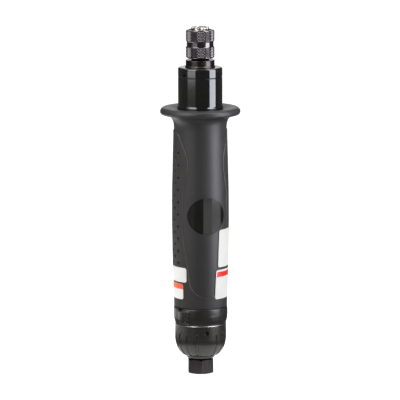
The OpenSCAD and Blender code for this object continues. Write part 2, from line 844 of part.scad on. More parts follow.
// Prism of the two smooth shields, front and back
module shield_prism() {
    span = shield_top_h - shield_low_h;
    half = smooth([for (s = shield_shares) [shield_half_w * s[1], z_grip + shield_low_h + span * s[0]]], 2);
    top = [[neck_r + pad_proud, z_flare], [neck_r + pad_proud, z_flare + over]];
    rotate([90, 0, 0])
        linear_extrude(height = guard_d, center = true)
            polygon(concat(half, top,
                [for (i = [len(top) - 1 : -1 : 0]) [-top[i][0], top[i][1]]],
                [for (i = [len(half) - 1 : -1 : 1]) [-half[i][0], half[i][1]]]));
}

module grip_shell() {
    rim = guard_d / 2;
    flare_w = rim - guard_low_r - neck_r;
    color("#434142")
    difference() {
        lathe(concat([[grip_bore_r, z_grip]], grip_curve,
            [for (i = [1 : 7]) let (a = 90 * i / 8)
                [neck_r + flare_w * pow(1 - cos(a), flare_power), z_flare + flare_h * sin(a)]],
            arc_points(rim - guard_low_r, z_guard - guard_t + guard_low_r, guard_low_r, guard_low_r, -90, 0, 6),
            arc_points(rim - guard_top_r, z_guard - guard_top_r, guard_top_r, guard_top_r, 0, 90, 6),
            [[grip_bore_r, z_guard]]));
        difference() {
            grip_band(-pad_inlay, belly_d);
            shield_prism();
        }
        intersection() {
            at_angle(0)
                radial(badge_d + 2 * free_gap, 0, belly_d, z_grip + badge_h);
            difference() {
                post(guard_d, z_grip + badge_h - badge_d, z_grip + badge_h + badge_d);
                hole(2 * belly_r - 2 * pad_proud, z_grip, z_guard);
            }
        }
    }
}

module grip_pads() {
    first = z_grip + dimple_low_h;
    color("#3c3938")
    difference() {
        grip_band(-pad_inlay, pad_proud);
        shield_prism();
        for (side = [-90, 90])
            for (c = [0 : dimple_columns - 1])
                for (r = [0 : dimple_rows - 1])
                    let (z = first + dimple_pitch * (r + (c % 2) / 2),
                        skin = lookup(z, [for (p = grip_curve) [p[1], p[0]]]) + pad_proud)
                    at_angle(side + dimple_step * (c - (dimple_columns - 1) / 2))
                        translate([skin - dimple_depth + dimple_d / 2, 0, z])
                            sphere(d = dimple_d, $fn = 16);
    }
}

module badge_plate() {
    color("#252422")
    intersection() {
        at_angle(0)
            radial(badge_d, 0, belly_d, z_grip + badge_h);
        difference() {
            post(2 * belly_r - free_gap, z_grip + badge_h - badge_d, z_grip + badge_h + badge_d);
            hole(2 * belly_r - 2 * pad_proud, z_grip, z_guard);
        }
    }
}

module motor_case() {
    color("#8d9196")
    difference() {
        post(case_d, z_case, z_guard);
        hole(case_bore_d, z_case, z_guard);
    }
}

module rear_end_plate() {
    color("#a5a7a9")
    difference() {
        post(case_bore_d - 2 * run_fit, z_rear, z_cylinder);
        post(rear_bearing_d + 2 * run_fit, z_rear - over, z_rear + bearing_inset + rear_bearing_w);
        hole(rear_journal_d + 4 * free_gap, z_rear, z_cylinder);
        exhaust_passages(z_rear, z_cylinder);
        for (side = [0 : 60 : 300])
            rotate([0, 0, side])
                translate([rear_bearing_d / 2 + supply_inset, 0, z_rear - over])
                    cylinder(d = supply_d, h = rear_plate_h + 2 * over, $fn = 24);
    }
}

module rear_bearing() {
    color("silver")
    bearing(rear_bearing_d, rear_journal_d, rear_bearing_w, z_rear + bearing_inset);
}

module cylinder_liner() {
    slot_h = 6;
    slot_w = 2;
    color("#b0b2b4")
    difference() {
        post(case_bore_d - 2 * run_fit, z_cylinder, z_front);
        translate([-bore_offset, 0, 0])
            hole(cylinder_bore_d, z_cylinder, z_front);
        for (row = [1 : 3])
            translate([-case_d, -slot_w / 2, z_cylinder + row * cylinder_h / 4 - slot_h / 2])
                cube([case_d, slot_w, slot_h]);
    }
}

// Gear of some teeth and width, a tooth on +X
module gear(teeth, low, high) {
    translate([0, 0, low])
        linear_extrude(height = high - low)
            polygon(gear_points(teeth, tooth_thin_share, tip_height_share, root_depth_share));
}

module rotor() {
    low = z_cylinder + free_gap / 2;
    high = z_front - free_gap / 2;
    color("#7b7f84")
    difference() {
        union() {
            difference() {
                post(rotor_d, low, high);
                for (i = [0 : vane_count - 1])
                    rotate([0, 0, 360 * i / vane_count])
                        translate([rotor_d / 2 - vane_depth, -vane_t / 2 - run_fit, low - over])
                            cube([rotor_d, vane_t + 2 * run_fit, high - low + 2 * over]);
            }
            post(rear_journal_d - 2 * run_fit, z_rear + bearing_inset, low);
            post(front_journal_d - 2 * run_fit, high, z_gears);
            gear(sun_teeth, z_gears, z_planet_1 + gear_w + pinion_reach);
        }
        hole(hollow_d, z_rear, z_carrier_1);
    }
}

module rotor_vanes() {
    low = z_cylinder + free_gap;
    high = z_front - free_gap;
    color("#5a3a24")
    for (i = [0 : vane_count - 1])
        rotate([0, 0, 360 * i / vane_count])
            intersection() {
                translate([rotor_d / 2 - vane_depth + free_gap, -vane_t / 2, low])
                    cube([vane_depth, vane_t, high - low]);
                post(rotor_d, low, high);
            }
}

module front_end_plate() {
    color("#a5a7a9")
    difference() {
        post(case_bore_d - 2 * run_fit, z_front, z_gears);
        hole(front_journal_d + 4 * free_gap, z_front, z_gears);
        post(front_bearing_d + 2 * run_fit, z_gears - bearing_inset - front_bearing_w, z_gears + over);
    }
}

module front_bearing() {
    color("silver")
    bearing(front_bearing_d, front_journal_d, front_bearing_w, z_gears - bearing_inset - front_bearing_w);
}

module ring_gear() {
    color("#8a8d90")
    difference() {
        post(case_bore_d - 2 * run_fit, z_gears, z_housing_low);
        translate([0, 0, z_gears - over])
            linear_extrude(height = z_housing_low - z_gears + 2 * over)
                polygon(gear_points(ring_teeth, 2 - tooth_thin_share, root_depth_share, tip_height_share));
    }
}

// One planet of a stage, at its place round the sun
module planet(index, low) {
    color("#9da0a3")
    rotate([0, 0, 360 * index / planet_count])
        translate([centre_distance, 0, 0])
            difference() {
                gear(planet_teeth, low, low + gear_w);
                hole(planet_pin_d + 2 * run_fit, low, low + gear_w);
            }
}

// Pins of one stage, from the free face of the planets into the carrier
module planet_pins(low, high) {
    color("silver")
    for (i = [0 : planet_count - 1])
        rotate([0, 0, 360 * i / planet_count])
            translate([centre_distance, 0, 0])
                post(planet_pin_d, low, high);
}

// Disc of a carrier with the holes for its pins
module carrier_disc(low, high) {
    difference() {
        post(carrier_d, low, high);
        for (i = [0 : planet_count - 1])
            rotate([0, 0, 360 * i / planet_count])
                translate([centre_distance, 0, 0])
                    hole(planet_pin_d, low, high);
    }
}

module carrier_1() {
    top = z_carrier_1 + carrier_t;
    color("#85888b")
    difference() {
        union() {
            carrier_disc(z_carrier_1, top);
            gear(sun_teeth, top, z_planet_2 + gear_w + pinion_reach);
        }
        hole(hollow_d, z_carrier_1, z_carrier_2);
    }
}

module carrier_2() {
    top = z_carrier_2 + carrier_2_t;
    color("#85888b")
    difference() {
        union() {
            carrier_disc(z_carrier_2, top);
            post(carrier_shaft_d + carrier_gap, top, z_bearing);
            post(carrier_shaft_d - 2 * run_fit, top, z_shaft_end);
            hex_post(carrier_hex_af, z_shaft_end, z_shaft_end + carrier_hex_h);
        }
        hole(hollow_d, z_carrier_2, z_shaft_end + carrier_hex_h);
    }
}

module carrier_bearing() {
    color("silver")
    bearing(carrier_bearing_d, carrier_shaft_d, carrier_bearing_w, z_bearing);
}

module bearing_circlip() {
    low = z_bearing + carrier_bearing_w;
    color("#55585b")
    difference() {
        post(clutch_bore_d + circlip_t, low, low + circlip_t);
        hole(carrier_bearing_d - 3 * circlip_t, low, low + circlip_t);
        translate([0, -circlip_t, low - over])
            cube([clutch_bore_d, 2 * circlip_t, circlip_t + 2 * over]);
    }
}

module return_spring() {
    color("silver")
    coil(carrier_shaft_d - return_wire / 4, return_wire, return_curls, z_shaft_end, z_drive_cam);
}

// Seats of the clutch balls, shared by both cams
module ball_seats() {
    for (i = [0 : clutch_ball_count - 1])
        rotate([0, 0, ball_angle + 360 * i / clutch_ball_count])
            translate([clutch_ball_circle_d / 2, 0, z_driven_cam - cam_gap / 2])
                sphere(d = clutch_ball_d + ball_play, $fn = 32);
}

module drive_cam() {
    top = z_drive_cam + drive_cam_h;
    color("#6f7275")
    difference() {
        post(cam_d, z_drive_cam, top);
        hex_post(carrier_hex_af + 2 * run_fit, z_drive_cam - over, top - pilot_depth);
        hole(pilot_d + 2 * run_fit, top - pilot_depth, top);
        ball_seats();
    }
}

module clutch_balls() {
    color("silver")
    for (i = [0 : clutch_ball_count - 1])
        rotate([0, 0, ball_angle + 360 * i / clutch_ball_count])
            translate([clutch_ball_circle_d / 2, 0, z_driven_cam - cam_gap / 2])
                sphere(d = clutch_ball_d, $fn = 32);
}

module driven_cam() {
    color("#6f7275")
    difference() {
        post(cam_d, z_driven_cam, z_driven_cam + driven_cam_h);
        hex_post(spindle_af + 2 * run_fit, z_driven_cam - over, z_driven_cam + driven_cam_h + over);
        ball_seats();
    }
}

module spring_seat() {
    color("#85888b")
    difference() {
        union() {
            post(cam_d - edge, z_spring_seat, z_spring_seat + spring_seat_t / 2);
            post(thread_d + 2 * edge + spring_seat_t / 2, z_spring_seat, z_spring_seat + spring_seat_t);
        }
        hole(thread_d + edge, z_spring_seat, z_spring_seat + spring_seat_t);
    }
}

module clutch_spring() {
    color("#4a6a9a")
    coil(cam_d - 2 * clutch_wire + edge, clutch_wire, clutch_curls, z_spring_seat + spring_seat_t / 2, z_nut);
}

module adjusting_nut() {
    notch = 2.4;
    color("#85888b")
    difference() {
        post(nut_d, z_nut, z_nut + nut_h);
        hole(thread_d + 2 * run_fit, z_nut, z_nut + nut_h);
        for (a = [0 : 60 : 300])
            rotate([0, 0, a])
                translate([nut_d / 2, 0, 0])
                    hole(notch, z_nut, z_nut + nut_h);
    }
}

module push_rod() {
    color("silver")
    post(rod_d, z_seat, z_spindle);
}

module clutch_housing() {
    foot_r = foot_d / 2;
    house_r = housing_d / 2;
    z_foot = z_guard + foot_h;
    color("#1b1a1a")
    difference() {
        lathe(concat([[0, z_housing_low], [case_bore_d / 2 - run_fit, z_housing_low],
            [case_bore_d / 2 - run_fit, z_guard], [foot_r, z_guard]],
            arc_points(foot_r, z_foot, foot_r - house_r, foot_h / 2, 270, 180, 5),
            [[house_r, z_house - edge], [house_r - edge / 2, z_house], [0, z_house]]));
        hole(carrier_room_d, z_housing_low, z_house);
        post(carrier_bearing_d + 2 * run_fit, z_bearing, z_house);
        post(clutch_bore_d, z_bearing + carrier_bearing_w, z_house + over);
        post(clutch_bore_d + circlip_t + 2 * run_fit, z_bearing + carrier_bearing_w,
            z_bearing + carrier_bearing_w + circlip_t);
    }
}

module nose_ring() {
    r = nose_d / 2;
    round_r = nose_rounding;
    color("#1b1a1a")
    difference() {
        union() {
            lathe(concat([[0, z_house], [r - edge / 2, z_house], [r, z_house + edge]],
                arc_points(r - round_r, z_nose - round_r, round_r, round_r, 0, 90, 6), [[0, z_nose]]));
            post(clutch_bore_d - 2 * run_fit, z_house - bushing_drop, z_house);
        }
        hole(collar_d + 2 * run_fit, z_house - bushing_drop, z_nose);
        for (side = [0, 180])
            at_angle(spanner_angle + side)
                radial(spanner_d, r - spanner_d, nose_d, z_house + spanner_lift);
    }
}

module front_bushing() {
    r = collar_d / 2;
    lip = 0.25;
    color("#35312e")
    difference() {
        lathe([[0, z_bushing], [bushing_flange_d / 2, z_bushing], [bushing_flange_d / 2, z_bushing + bushing_flange_t],
            [r, z_bushing + bushing_flange_t], [r, z_nose + edge], [r - lip, z_nose + 2 * edge],
            [r - lip, z_collar - edge], [r - lip - edge, z_collar], [0, z_collar]]);
        hole(spindle_d + 2 * run_fit, z_bushing, z_collar);
    }
}

module thrust_washer() {
    color("#c09a50")
    difference() {
        post(bushing_flange_d, z_washer, z_bushing);
        hole(spindle_d + 2 * free_gap, z_washer, z_bushing);
    }
}

module spindle() {
    color("#cfd2d6")
    difference() {
        union() {
            post(pilot_d, z_spindle, z_driven_cam);
            hex_post(spindle_af, z_driven_cam, z_driven_cam + spindle_hex_h);
            post(thread_d, z_driven_cam + spindle_hex_h, z_washer - shoulder_t);
            post(shoulder_d, z_washer - shoulder_t, z_washer);
            post(spindle_d, z_washer, z_ring_top + ring_t);
            lathe([[0, z_ring_top + ring_t], [tip_d / 2, z_ring_top + ring_t], [tip_d / 2, z_tip - edge],
                [tip_d / 2 - edge, z_tip], [0, z_tip]]);
        }
        hex_post(socket_af, z_tip - socket_depth, z_tip + over);
        translate([0, 0, z_tip - edge])
            cylinder(d1 = socket_af, d2 = socket_af + 4 * edge, h = 2 * edge, $fn = 48);
        radial(bit_ball_d + 2 * run_fit, 0, spindle_d, z_bit_ball);
        for (z = [z_ring_low, z_ring_top])
            difference() {
                post(2 * spindle_d, z, z + ring_t);
                hole(groove_d, z, z + ring_t);
            }
        for (i = [0 : crown_count - 1])
            rotate([0, 0, 360 * (i + 0.5) / crown_count])
                radial(crown_d, socket_af / 2 + crown_wall, spindle_d, z_tip);
    }
}

module bit_ball() {
    color("silver")
    translate([spindle_d / 2 - bit_ball_d / 2 + run_fit / 2, 0, z_bit_ball])
        sphere(d = bit_ball_d, $fn = 32);
}

// Outline of one knurled band between two heights
function band_points(low, high, r) =
    [[r - edge, low], [r, low + edge], [r, high - edge], [r - edge, high]];

module chuck_sleeve() {
    r = sleeve_d / 2;
    z_band = z_sleeve + low_knurl_h;
    color("#4a4648")
    difference() {
        lathe(concat([[0, z_sleeve]], band_points(z_sleeve, z_band, r),
            [[band_d / 2, z_band], [band_d / 2, z_band + band_h]],
            band_points(z_band + band_h, z_sleeve_top, r), [[0, z_sleeve_top]]));
        hole(spindle_d + 2 * run_fit, z_sleeve, z_sleeve_top);
        post(sleeve_pocket_d, z_sleeve - over, z_ring_low + ring_t);
        post(sleeve_pocket_d, z_pocket, z_sleeve_top + over);
        post(release_d, z_bit_ball - sleeve_stroke - release_h / 2, z_bit_ball - sleeve_stroke + release_h / 2);
    }
}

module sleeve_spring() {
    color("silver")
    coil(spindle_d + 2 * sleeve_wire + free_gap, sleeve_wire, sleeve_curls, z_pocket, z_ring_top);
}

module sleeve_rings() {
    color("#9b9ea2")
    for (z = [z_ring_low, z_ring_top])
        difference() {
            post(ring_out_d, z, z + ring_t);
            hole(groove_d, z, z + ring_t);
        }
}

inlet_bushing();
inlet_screen();
inlet_seal();
exhaust_cap();
cap_set_screw();
silencer();
valve_body();
valve_seat();
throttle_valve();
valve_spring();
reversing_ring();
reversing_pin();
reversing_valve();
detent_ball();
detent_spring();
grip_shell();
grip_pads();
badge_plate();
motor_case();
rear_end_plate();
rear_bearing();
cylinder_liner();  // cylinder
rotor();
rotor_vanes();
front_end_plate();
front_bearing();
ring_gear();
planet(0, z_planet_1);  // planet_1a
planet(1, z_planet_1);  // planet_1b
planet(2, z_planet_1);  // planet_1c
planet_pins(z_planet_1, z_carrier_1 + carrier_t);  // planet_pins_1
carrier_1();
planet(0, z_planet_2);  // planet_2a
planet(1, z_planet_2);  // planet_2b
planet(2, z_planet_2);  // planet_2c
planet_pins(z_planet_2, z_carrier_2 + carrier_2_t);  // planet_pins_2
carrier_2();
carrier_bearing();
bearing_circlip();
return_spring();
drive_cam();
clutch_balls();
driven_cam();
spring_seat();
clutch_spring();
adjusting_nut();
push_rod();
clutch_housing();
nose_ring();
front_bushing();
thrust_washer();
spindle();
bit_ball();
chuck_sleeve();
sleeve_spring();
sleeve_rings();
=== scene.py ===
# %% [markdown]
# # A pneumatic in-line screwdriver
#
# The tool stands on its air inlet with the chuck upward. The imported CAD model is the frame:
# it says where every piece sits and which pieces move together. This script builds finer
# skins for nine pieces that show, takes smooth copies of the others, gives every piece a
# finish, and sets up the studio.

import json
import math

import bmesh
import bpy
import numpy as np
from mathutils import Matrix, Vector
from mathutils.kdtree import KDTree


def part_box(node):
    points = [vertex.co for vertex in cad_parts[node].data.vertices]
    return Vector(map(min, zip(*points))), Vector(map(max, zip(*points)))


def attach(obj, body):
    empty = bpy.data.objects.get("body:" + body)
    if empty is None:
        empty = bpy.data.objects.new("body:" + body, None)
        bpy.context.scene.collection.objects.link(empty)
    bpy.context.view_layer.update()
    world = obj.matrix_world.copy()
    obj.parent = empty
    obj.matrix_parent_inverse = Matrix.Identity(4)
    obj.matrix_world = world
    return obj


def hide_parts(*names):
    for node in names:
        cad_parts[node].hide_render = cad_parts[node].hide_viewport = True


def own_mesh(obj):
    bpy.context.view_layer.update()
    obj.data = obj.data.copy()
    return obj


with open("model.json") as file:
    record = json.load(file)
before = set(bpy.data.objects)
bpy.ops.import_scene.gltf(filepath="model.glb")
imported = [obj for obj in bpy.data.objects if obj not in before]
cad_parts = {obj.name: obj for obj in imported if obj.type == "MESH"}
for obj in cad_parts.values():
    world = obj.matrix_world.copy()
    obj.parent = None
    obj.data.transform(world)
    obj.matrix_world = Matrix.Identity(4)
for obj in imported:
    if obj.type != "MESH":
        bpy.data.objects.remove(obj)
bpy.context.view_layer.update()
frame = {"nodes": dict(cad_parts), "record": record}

# %% [markdown]
# The CAD is drawn in millimetres and Blender works in metres. Lengths of the tool are
# millimetres until a mesh is made, and those of the studio are metres. The heights of the stack
# are read from the boxes of the CAD nodes, and other heights on the tool are counted from them.
# Those of the labels, the raised dots and the arrow are counted from the floor.

# %% Heights and radii of the stack, read from the frame
mm = 0.001


def low(node):
    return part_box(node)[0].z / mm


def high(node):
    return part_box(node)[1].z / mm


def widest(node):
    corner_low, corner_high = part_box(node)
    return (corner_high.y - corner_low.y) / 2 / mm


cap_low, cap_high = low("exhaust_cap"), high("exhaust_cap")
ring_low, ring_high = low("reversing_ring"), high("reversing_ring")
grip_low, guard_top = low("grip_shell"), high("grip_shell")
pads_top = high("grip_pads")
nose_top, collar_top = high("nose_ring"), high("front_bushing")
sleeve_low, sleeve_high = low("chuck_sleeve"), high("chuck_sleeve")
guard_r = widest("grip_shell")
nose_r = widest("nose_ring")
sleeve_r = widest("chuck_sleeve")
print("grip from", round(grip_low, 1), "to", round(guard_top, 1))
print("chuck up to", round(high("spindle"), 1))

# %% [markdown]
# A round piece is a profile turned about the axis. `skin` makes a mesh from rows of points,
# and `turned` makes those rows from a profile of radius and height. The profile's corners are
# rounded first, because a real edge always has a small radius that catches the light. Turns
# are measured from the front, and a quarter turn is on the right, seen from the front.


# %% Meshes from rows of points
def spot(radius, turn, z):
    """A point at a radius, a turn and a height."""
    return radius * math.sin(turn), -radius * math.cos(turn), z


def row_at(radius, turns, z):
    """A row of points at one height; the radius is one number or one for each turn."""
    return np.stack([radius * np.sin(turns), -radius * np.cos(turns), np.full(len(turns), z)], axis=-1)


def skin(name, rows, around=True, smooth_deg=35):
    rows = np.asarray(rows, float) * mm
    count, columns = rows.shape[:2]
    index = np.arange(count * columns).reshape(count, columns)
    right = np.roll(index, -1, axis=1) if around else index[:, 1:]
    left = index if around else index[:, :-1]
    quads = np.stack([left[:-1], right[:-1], right[1:], left[1:]], axis=-1).reshape(-1, 4)
    mesh = bpy.data.meshes.new(name)
    mesh.from_pydata(rows.reshape(-1, 3).tolist(), [], quads.tolist())
    return finished(name, mesh, smooth_deg)


def finished(name, mesh, smooth_deg=35, merge=1e-7):
    work = bmesh.new()
    work.from_mesh(mesh)
    bmesh.ops.remove_doubles(work, verts=work.verts, dist=merge)
    bmesh.ops.dissolve_degenerate(work, edges=work.edges, dist=merge)
    work.to_mesh(mesh)
    work.free()
    mesh.shade_smooth()
    mesh.set_sharp_from_angle(angle=math.radians(smooth_deg))
    piece = bpy.data.objects.new(name, mesh)
    bpy.context.scene.collection.objects.link(piece)
    return piece


def rounded(profile, radius=0.3, steps=4):
    """The profile with its corners rounded; a third value of a point is its own radius."""
    points = [(p[0], p[1]) for p in profile]
    radii = [p[2] if len(p) > 2 else radius for p in profile]
    out = [points[0]]
    for before, here, after, r in zip(points, points[1:], points[2:], radii[1:]):
        a = np.subtract(before, here)
        b = np.subtract(after, here)
        la, lb = np.linalg.norm(a), np.linalg.norm(b)
        turn = math.acos(np.clip(np.dot(a, b) / la / lb, -1, 1))
        reach = min(r / math.tan(turn / 2), 0.45 * la, 0.45 * lb) if turn > 0.02 else 0
        if reach < 1e-3 or turn > math.pi - 0.02:
            out.append(here)
            continue
        start, end = here + a / la * reach, here + b / lb * reach
        for t in np.linspace(0, 1, steps + 1):
            bend = (1 - t) ** 2 * start + 2 * t * (1 - t) * np.array(here) + t**2 * end
            out.append(tuple(bend))
    return out + [points[-1]]


def held(profile, near=0.15, long=1.0):
    """Adds a point near both ends of each long straight run, so that its shading stays straight."""
    out = [tuple(profile[0])]
    places = np.array(profile, float)
    for a, b in zip(places, places[1:]):
        length = np.linalg.norm(b - a)
        if length > long:
            out += [tuple(a + (b - a) * near / length), tuple(b - (b - a) * near / length)]
        out.append(tuple(b))
    return out


def turned(name, profile, around=192, smooth_deg=35):
    angle = np.linspace(0, 2 * math.pi, around, endpoint=False)
    profile = held(profile)
    return skin(name, [row_at(r, angle, z) for r, z in profile], smooth_deg=smooth_deg)


# %% [markdown]
# Each skin takes the place of a CAD node and rides on the same moving body.

# %% Put a skin in the place of its CAD node
slot_of = {part["node"]: part["material_slot"] for part in frame["record"]["subparts"]}
bodies = frame["record"]["behaviour"]["bodies"]
body_of_node = {node: body for body, group in bodies.items() for node in group}
pieces = {}


def stands_for(piece, node):
    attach(piece, body_of_node[node])
    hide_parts(node)
    pieces[node] = piece
    return piece


# %% [markdown]
# The finishes come next. Colours are written as sRGB hex values and turned to linear light.
# One helper adds a shader node with its settings and links.


# %% Colour and node helpers
def linear(hex_colour):
    channels = [int(hex_colour[i : i + 2], 16) / 255 for i in (1, 3, 5)]
    return [c / 12.92 if c <= 0.04045 else ((c + 0.055) / 1.055) ** 2.4 for c in channels] + [1.0]


def add(tree, kind, links=(), **settings):
    """Adds a node; settings are its properties or inputs, and links pair an input with an output."""
    node = tree.nodes.new(kind)
    for key, value in settings.items():
        if hasattr(node, key):
            setattr(node, key, value)
    for key, value in settings.items():
        if not hasattr(node, key):
            node.inputs[key.replace("_", " ")].default_value = value
    for socket, output in dict(links).items():
        tree.links.new(output, node.inputs[socket])
    return node


def new_material(name, hex_colour, **shader):
    material = bpy.data.materials.new(name)
    material.use_nodes = True
    tree = material.node_tree
    surface = tree.nodes["Principled BSDF"]
    surface.inputs["Base Color"].default_value = linear(hex_colour)
    for key, value in shader.items():
        surface.inputs[key.replace("_", " ")].default_value = value
    return material, tree, surface


def uneven(tree, surface, cloud, grain, roughness, mottle, bump_mm):
    """The cloud makes the gloss uneven by the mottle, and the grain is a relief of that height."""
    low_gloss, high_gloss = roughness - mottle, roughness + mottle
    value = {"Value": cloud.outputs["Fac"]}
    spread = add(tree, "ShaderNodeMapRange", value, To_Min=low_gloss, To_Max=high_gloss)
    tree.links.new(spread.outputs["Result"], surface.inputs["Roughness"])
    height = {"Height": grain.outputs["Fac"]}
    relief = add(tree, "ShaderNodeBump", height, Strength=1.0, Distance=bump_mm * mm)
    tree.links.new(relief.outputs["Normal"], surface.inputs["Normal"])


# %% [markdown]
# Two plastics make the grip. The hard shell is glass-filled nylon, moulded with a fine spark
# eroded texture, so its highlight is broad and dull. The pads are a soft elastomer moulded over
# it, which is duller still. The texture is a fraction of a millimetre and only breaks the gloss.

# %% Grip finishes: moulded nylon and soft elastomer
materials = {}
cloud_mm = 14


def moulded(name, hex_colour, roughness, grain_mm, bump_mm, ior=1.5, mottle=0.04):
    material, tree, surface = new_material(name, hex_colour, Roughness=roughness, IOR=ior)
    place = add(tree, "ShaderNodeTexCoord")
    where = {"Vector": place.outputs["Object"]}
    grain = add(tree, "ShaderNodeTexNoise", where, Scale=1 / (grain_mm * mm), Detail=2.0)
    cloud = add(tree, "ShaderNodeTexNoise", where, Scale=1 / (cloud_mm * mm), Detail=3.0)
    uneven(tree, surface, cloud, grain, roughness, mottle, bump_mm)
    return material


# Slot: name, colour, roughness, grain and relief in millimetres, then IOR and mottle where they
# aren't the usual ones
soft_and_moulded = {
    "grip_plastic": ("glass-filled nylon, spark-eroded", "#312f30", 0.42, 0.35, 0.006),
    "grip_rubber": ("soft elastomer, moulded", "#2a2726", 0.55, 0.3, 0.01),
    "ring_plastic": ("glass-filled nylon, polished mould", "#262322", 0.3, 0.5, 0.004),
    "anodised_cap": ("aluminium, hard anodised black", "#292622", 0.28, 0.5, 0.003, 1.55),
    # The pad rim's finish is really glossier; its lighter colour is a painted highlight along the rim.
    "pad_rim_painted_highlight": ("soft elastomer, edge pressed smooth", "#4d4847", 0.24, 0.3, 0.002, 1.6),
    "nitrile_rubber": ("nitrile rubber, moulded", "#1b1b1b", 0.45, 0.4, 0.004),
    "vane_resin": ("resin-bonded fabric, cut", "#6b4a30", 0.5, 0.4, 0.01),
    "felt": ("wool felt, pressed", "#a8977c", 0.95, 0.6, 0.08, 1.4),
}
for slot, finish in soft_and_moulded.items():
    materials[slot] = moulded(*finish)
print(len(materials), "plastic and rubber finishes")

# %% [markdown]
# The clutch housing and the nose ring are enamelled steel: a thin, hard, glossy black coat with
# a slight orange-peel wave, a few millimetres across, that makes the long highlights wander.

# %% Enamel and polished plastic
coats_and_films = {
    "black_enamel": ("black enamel, sprayed and baked", "#141312", 0.07, 2.2, 0.003, 1.8, 0.02),
    "badge_plastic": ("acrylic, polished", "#1a1918", 0.1, 6.0, 0.002, 1.49, 0.02),
    "label_paper": ("vinyl film, printed white", "#ecebe9", 0.35, 0.8, 0.002),
    "label_orange": ("vinyl film, printed orange", "#f25a10", 0.35, 0.8, 0.002),
    "label_red": ("vinyl film, printed red", "#f0241d", 0.35, 0.8, 0.002),
}
for slot, finish in coats_and_films.items():
    materials[slot] = moulded(*finish)


# %% [markdown]
# Turned steel carries fine rings from the lathe tool. They run round the axis, so the pattern is a
# noise that is stretched in the horizontal and dense along Z. Metals keep the default IOR.

# %% Metal finishes
wave_mm = 25


def metal(name, hex_colour, roughness, ring_mm=0.25, bump_mm=0.002, mottle=0.05):
    material, tree, surface = new_material(name, hex_colour, Metallic=1.0, Roughness=roughness)
    place = add(tree, "ShaderNodeTexCoord")
    scale = (1 / (wave_mm * mm), 1 / (wave_mm * mm), 1 / (ring_mm * mm))
    stretch = add(tree, "ShaderNodeMapping", {"Vector": place.outputs["Object"]}, Scale=scale)
    rings = add(tree, "ShaderNodeTexNoise", {"Vector": stretch.outputs["Vector"]}, Scale=1.0, Detail=2.0)
    uneven(tree, surface, rings, rings, roughness, mottle, bump_mm)
    return material


metals = {
    "blackened_steel": ("steel, turned and blackened", "#322e2f", 0.36),
    "bright_steel": ("steel, turned and ground bright", "#b9b4ae", 0.22),
    "tool_steel": ("alloy steel, hardened and ground", "#96979a", 0.3),
    "spring_steel": ("spring wire, oil-tempered", "#55565a", 0.35),
    "sleeve_steel": ("steel, knurled and burnished dark", "#6a6466", 0.15),
    "collar_steel": ("steel, turned, blackened and polished", "#4a4544", 0.24),
    "bare_aluminium": ("aluminium, turned", "#b9bbbd", 0.32),
    "turned_edge": ("aluminium, edge turned bright", "#b4b2b0", 0.3),
    "seat_brass": ("brass, turned", "#b5945a", 0.28),
}
for slot, finish in metals.items():
    materials[slot] = metal(*finish)
print(len(materials), "finishes in all")

# %% [markdown]
# ## The grip
#
# The hard shell swells to a belly, falls to a bare neck and flares into a round thumb guard.
# A few pairs of shares say how the radius runs between those places, and a smooth curve goes
# through them. The front and back show a smooth shield, outlined by the soft pads at the sides.

# %% Shape of the grip
pad_proud = 0.5
skin_over = 0.2
neck_r = 18.6
base_r = 18.3
belly_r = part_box("grip_pads")[1].x / mm - pad_proud + skin_over
belly_z = grip_low + 61.5
shield_low = grip_low + 8.9
lower_shares = [(0, 0), (0.3, 0.36), (0.52, 0.69), (0.76, 0.87), (1, 1)]
upper_shares = [(0, 1), (0.335, 0.9), (0.565, 0.57), (0.8, 0.27), (0.935, 0.05), (1, 0)]
shield_half = 15.65
shield_shares = [
    (0, 0), (0.008, 0.33), (0.028, 0.54), (0.055, 0.68), (0.1, 0.755), (0.18, 0.825), (0.26, 0.888),
    (0.32, 0.955), (0.38, 0.995), (0.48, 1), (0.59, 1), (0.656, 0.962), (0.712, 0.885), (0.76, 0.825),
    (0.804, 0.805), (0.84, 0.822), (0.87, 0.872), (0.9, 0.945), (0.94, 1.03), (0.965, 1.09), (1, 1.17),
]  # fmt: skip


def smooth(points, steps=12):
    """A smooth curve through the points, with that many steps between two of them."""
    points = [np.array(p, float) for p in points]
    out = []
    for i in range(len(points) - 1):
        a, b, c, d = points[max(i - 1, 0)], points[i], points[i + 1], points[min(i + 2, len(points) - 1)]
        for t in np.arange(steps) / steps:
            square, cube = 2 * a - 5 * b + 4 * c - d, 3 * b - a - 3 * c + d
            out.append((2 * b + (c - a) * t + square * t**2 + cube * t**3) / 2)
    return np.array(out + [points[-1]])


lower_span, lower_swell = belly_z - grip_low, belly_r - base_r
upper_span, upper_swell = pads_top - 2 - belly_z, belly_r - neck_r
shield_span = pads_top - shield_low
lower = smooth([(grip_low + lower_span * h, base_r + lower_swell * s) for h, s in lower_shares])
upper = smooth([(belly_z + upper_span * h, neck_r + upper_swell * s) for h, s in upper_shares])
body_curve = np.concatenate([lower[:-1], upper, [(guard_top, neck_r)]])
shield_curve = smooth([(shield_low + shield_span * h, shield_half * w) for h, w in shield_shares])


def shell_r(z):
    return np.interp(z, body_curve[:, 0], body_curve[:, 1])


def shield_edge(z):
    """Angle from the front to the edge of the shield, in radians."""
    half = np.interp(z, shield_curve[:, 0], shield_curve[:, 1], left=0.0)
    return np.arcsin(np.clip(half / (shell_r(z) + pad_proud / 2), 0, 1))


print("belly radius", round(belly_r, 2))
print("shield edge at the belly", round(math.degrees(shield_edge(belly_z)), 1), "degrees")

# %% [markdown]
# The badge sits in a shallow round pocket in the shell. The pocket is cut with a plug whose inner
# end follows the shell's curve, by a Boolean modifier that is applied at once.


# %% A round plug that follows the shell
badge_z = grip_low + 66.5
badge_r = 13.0


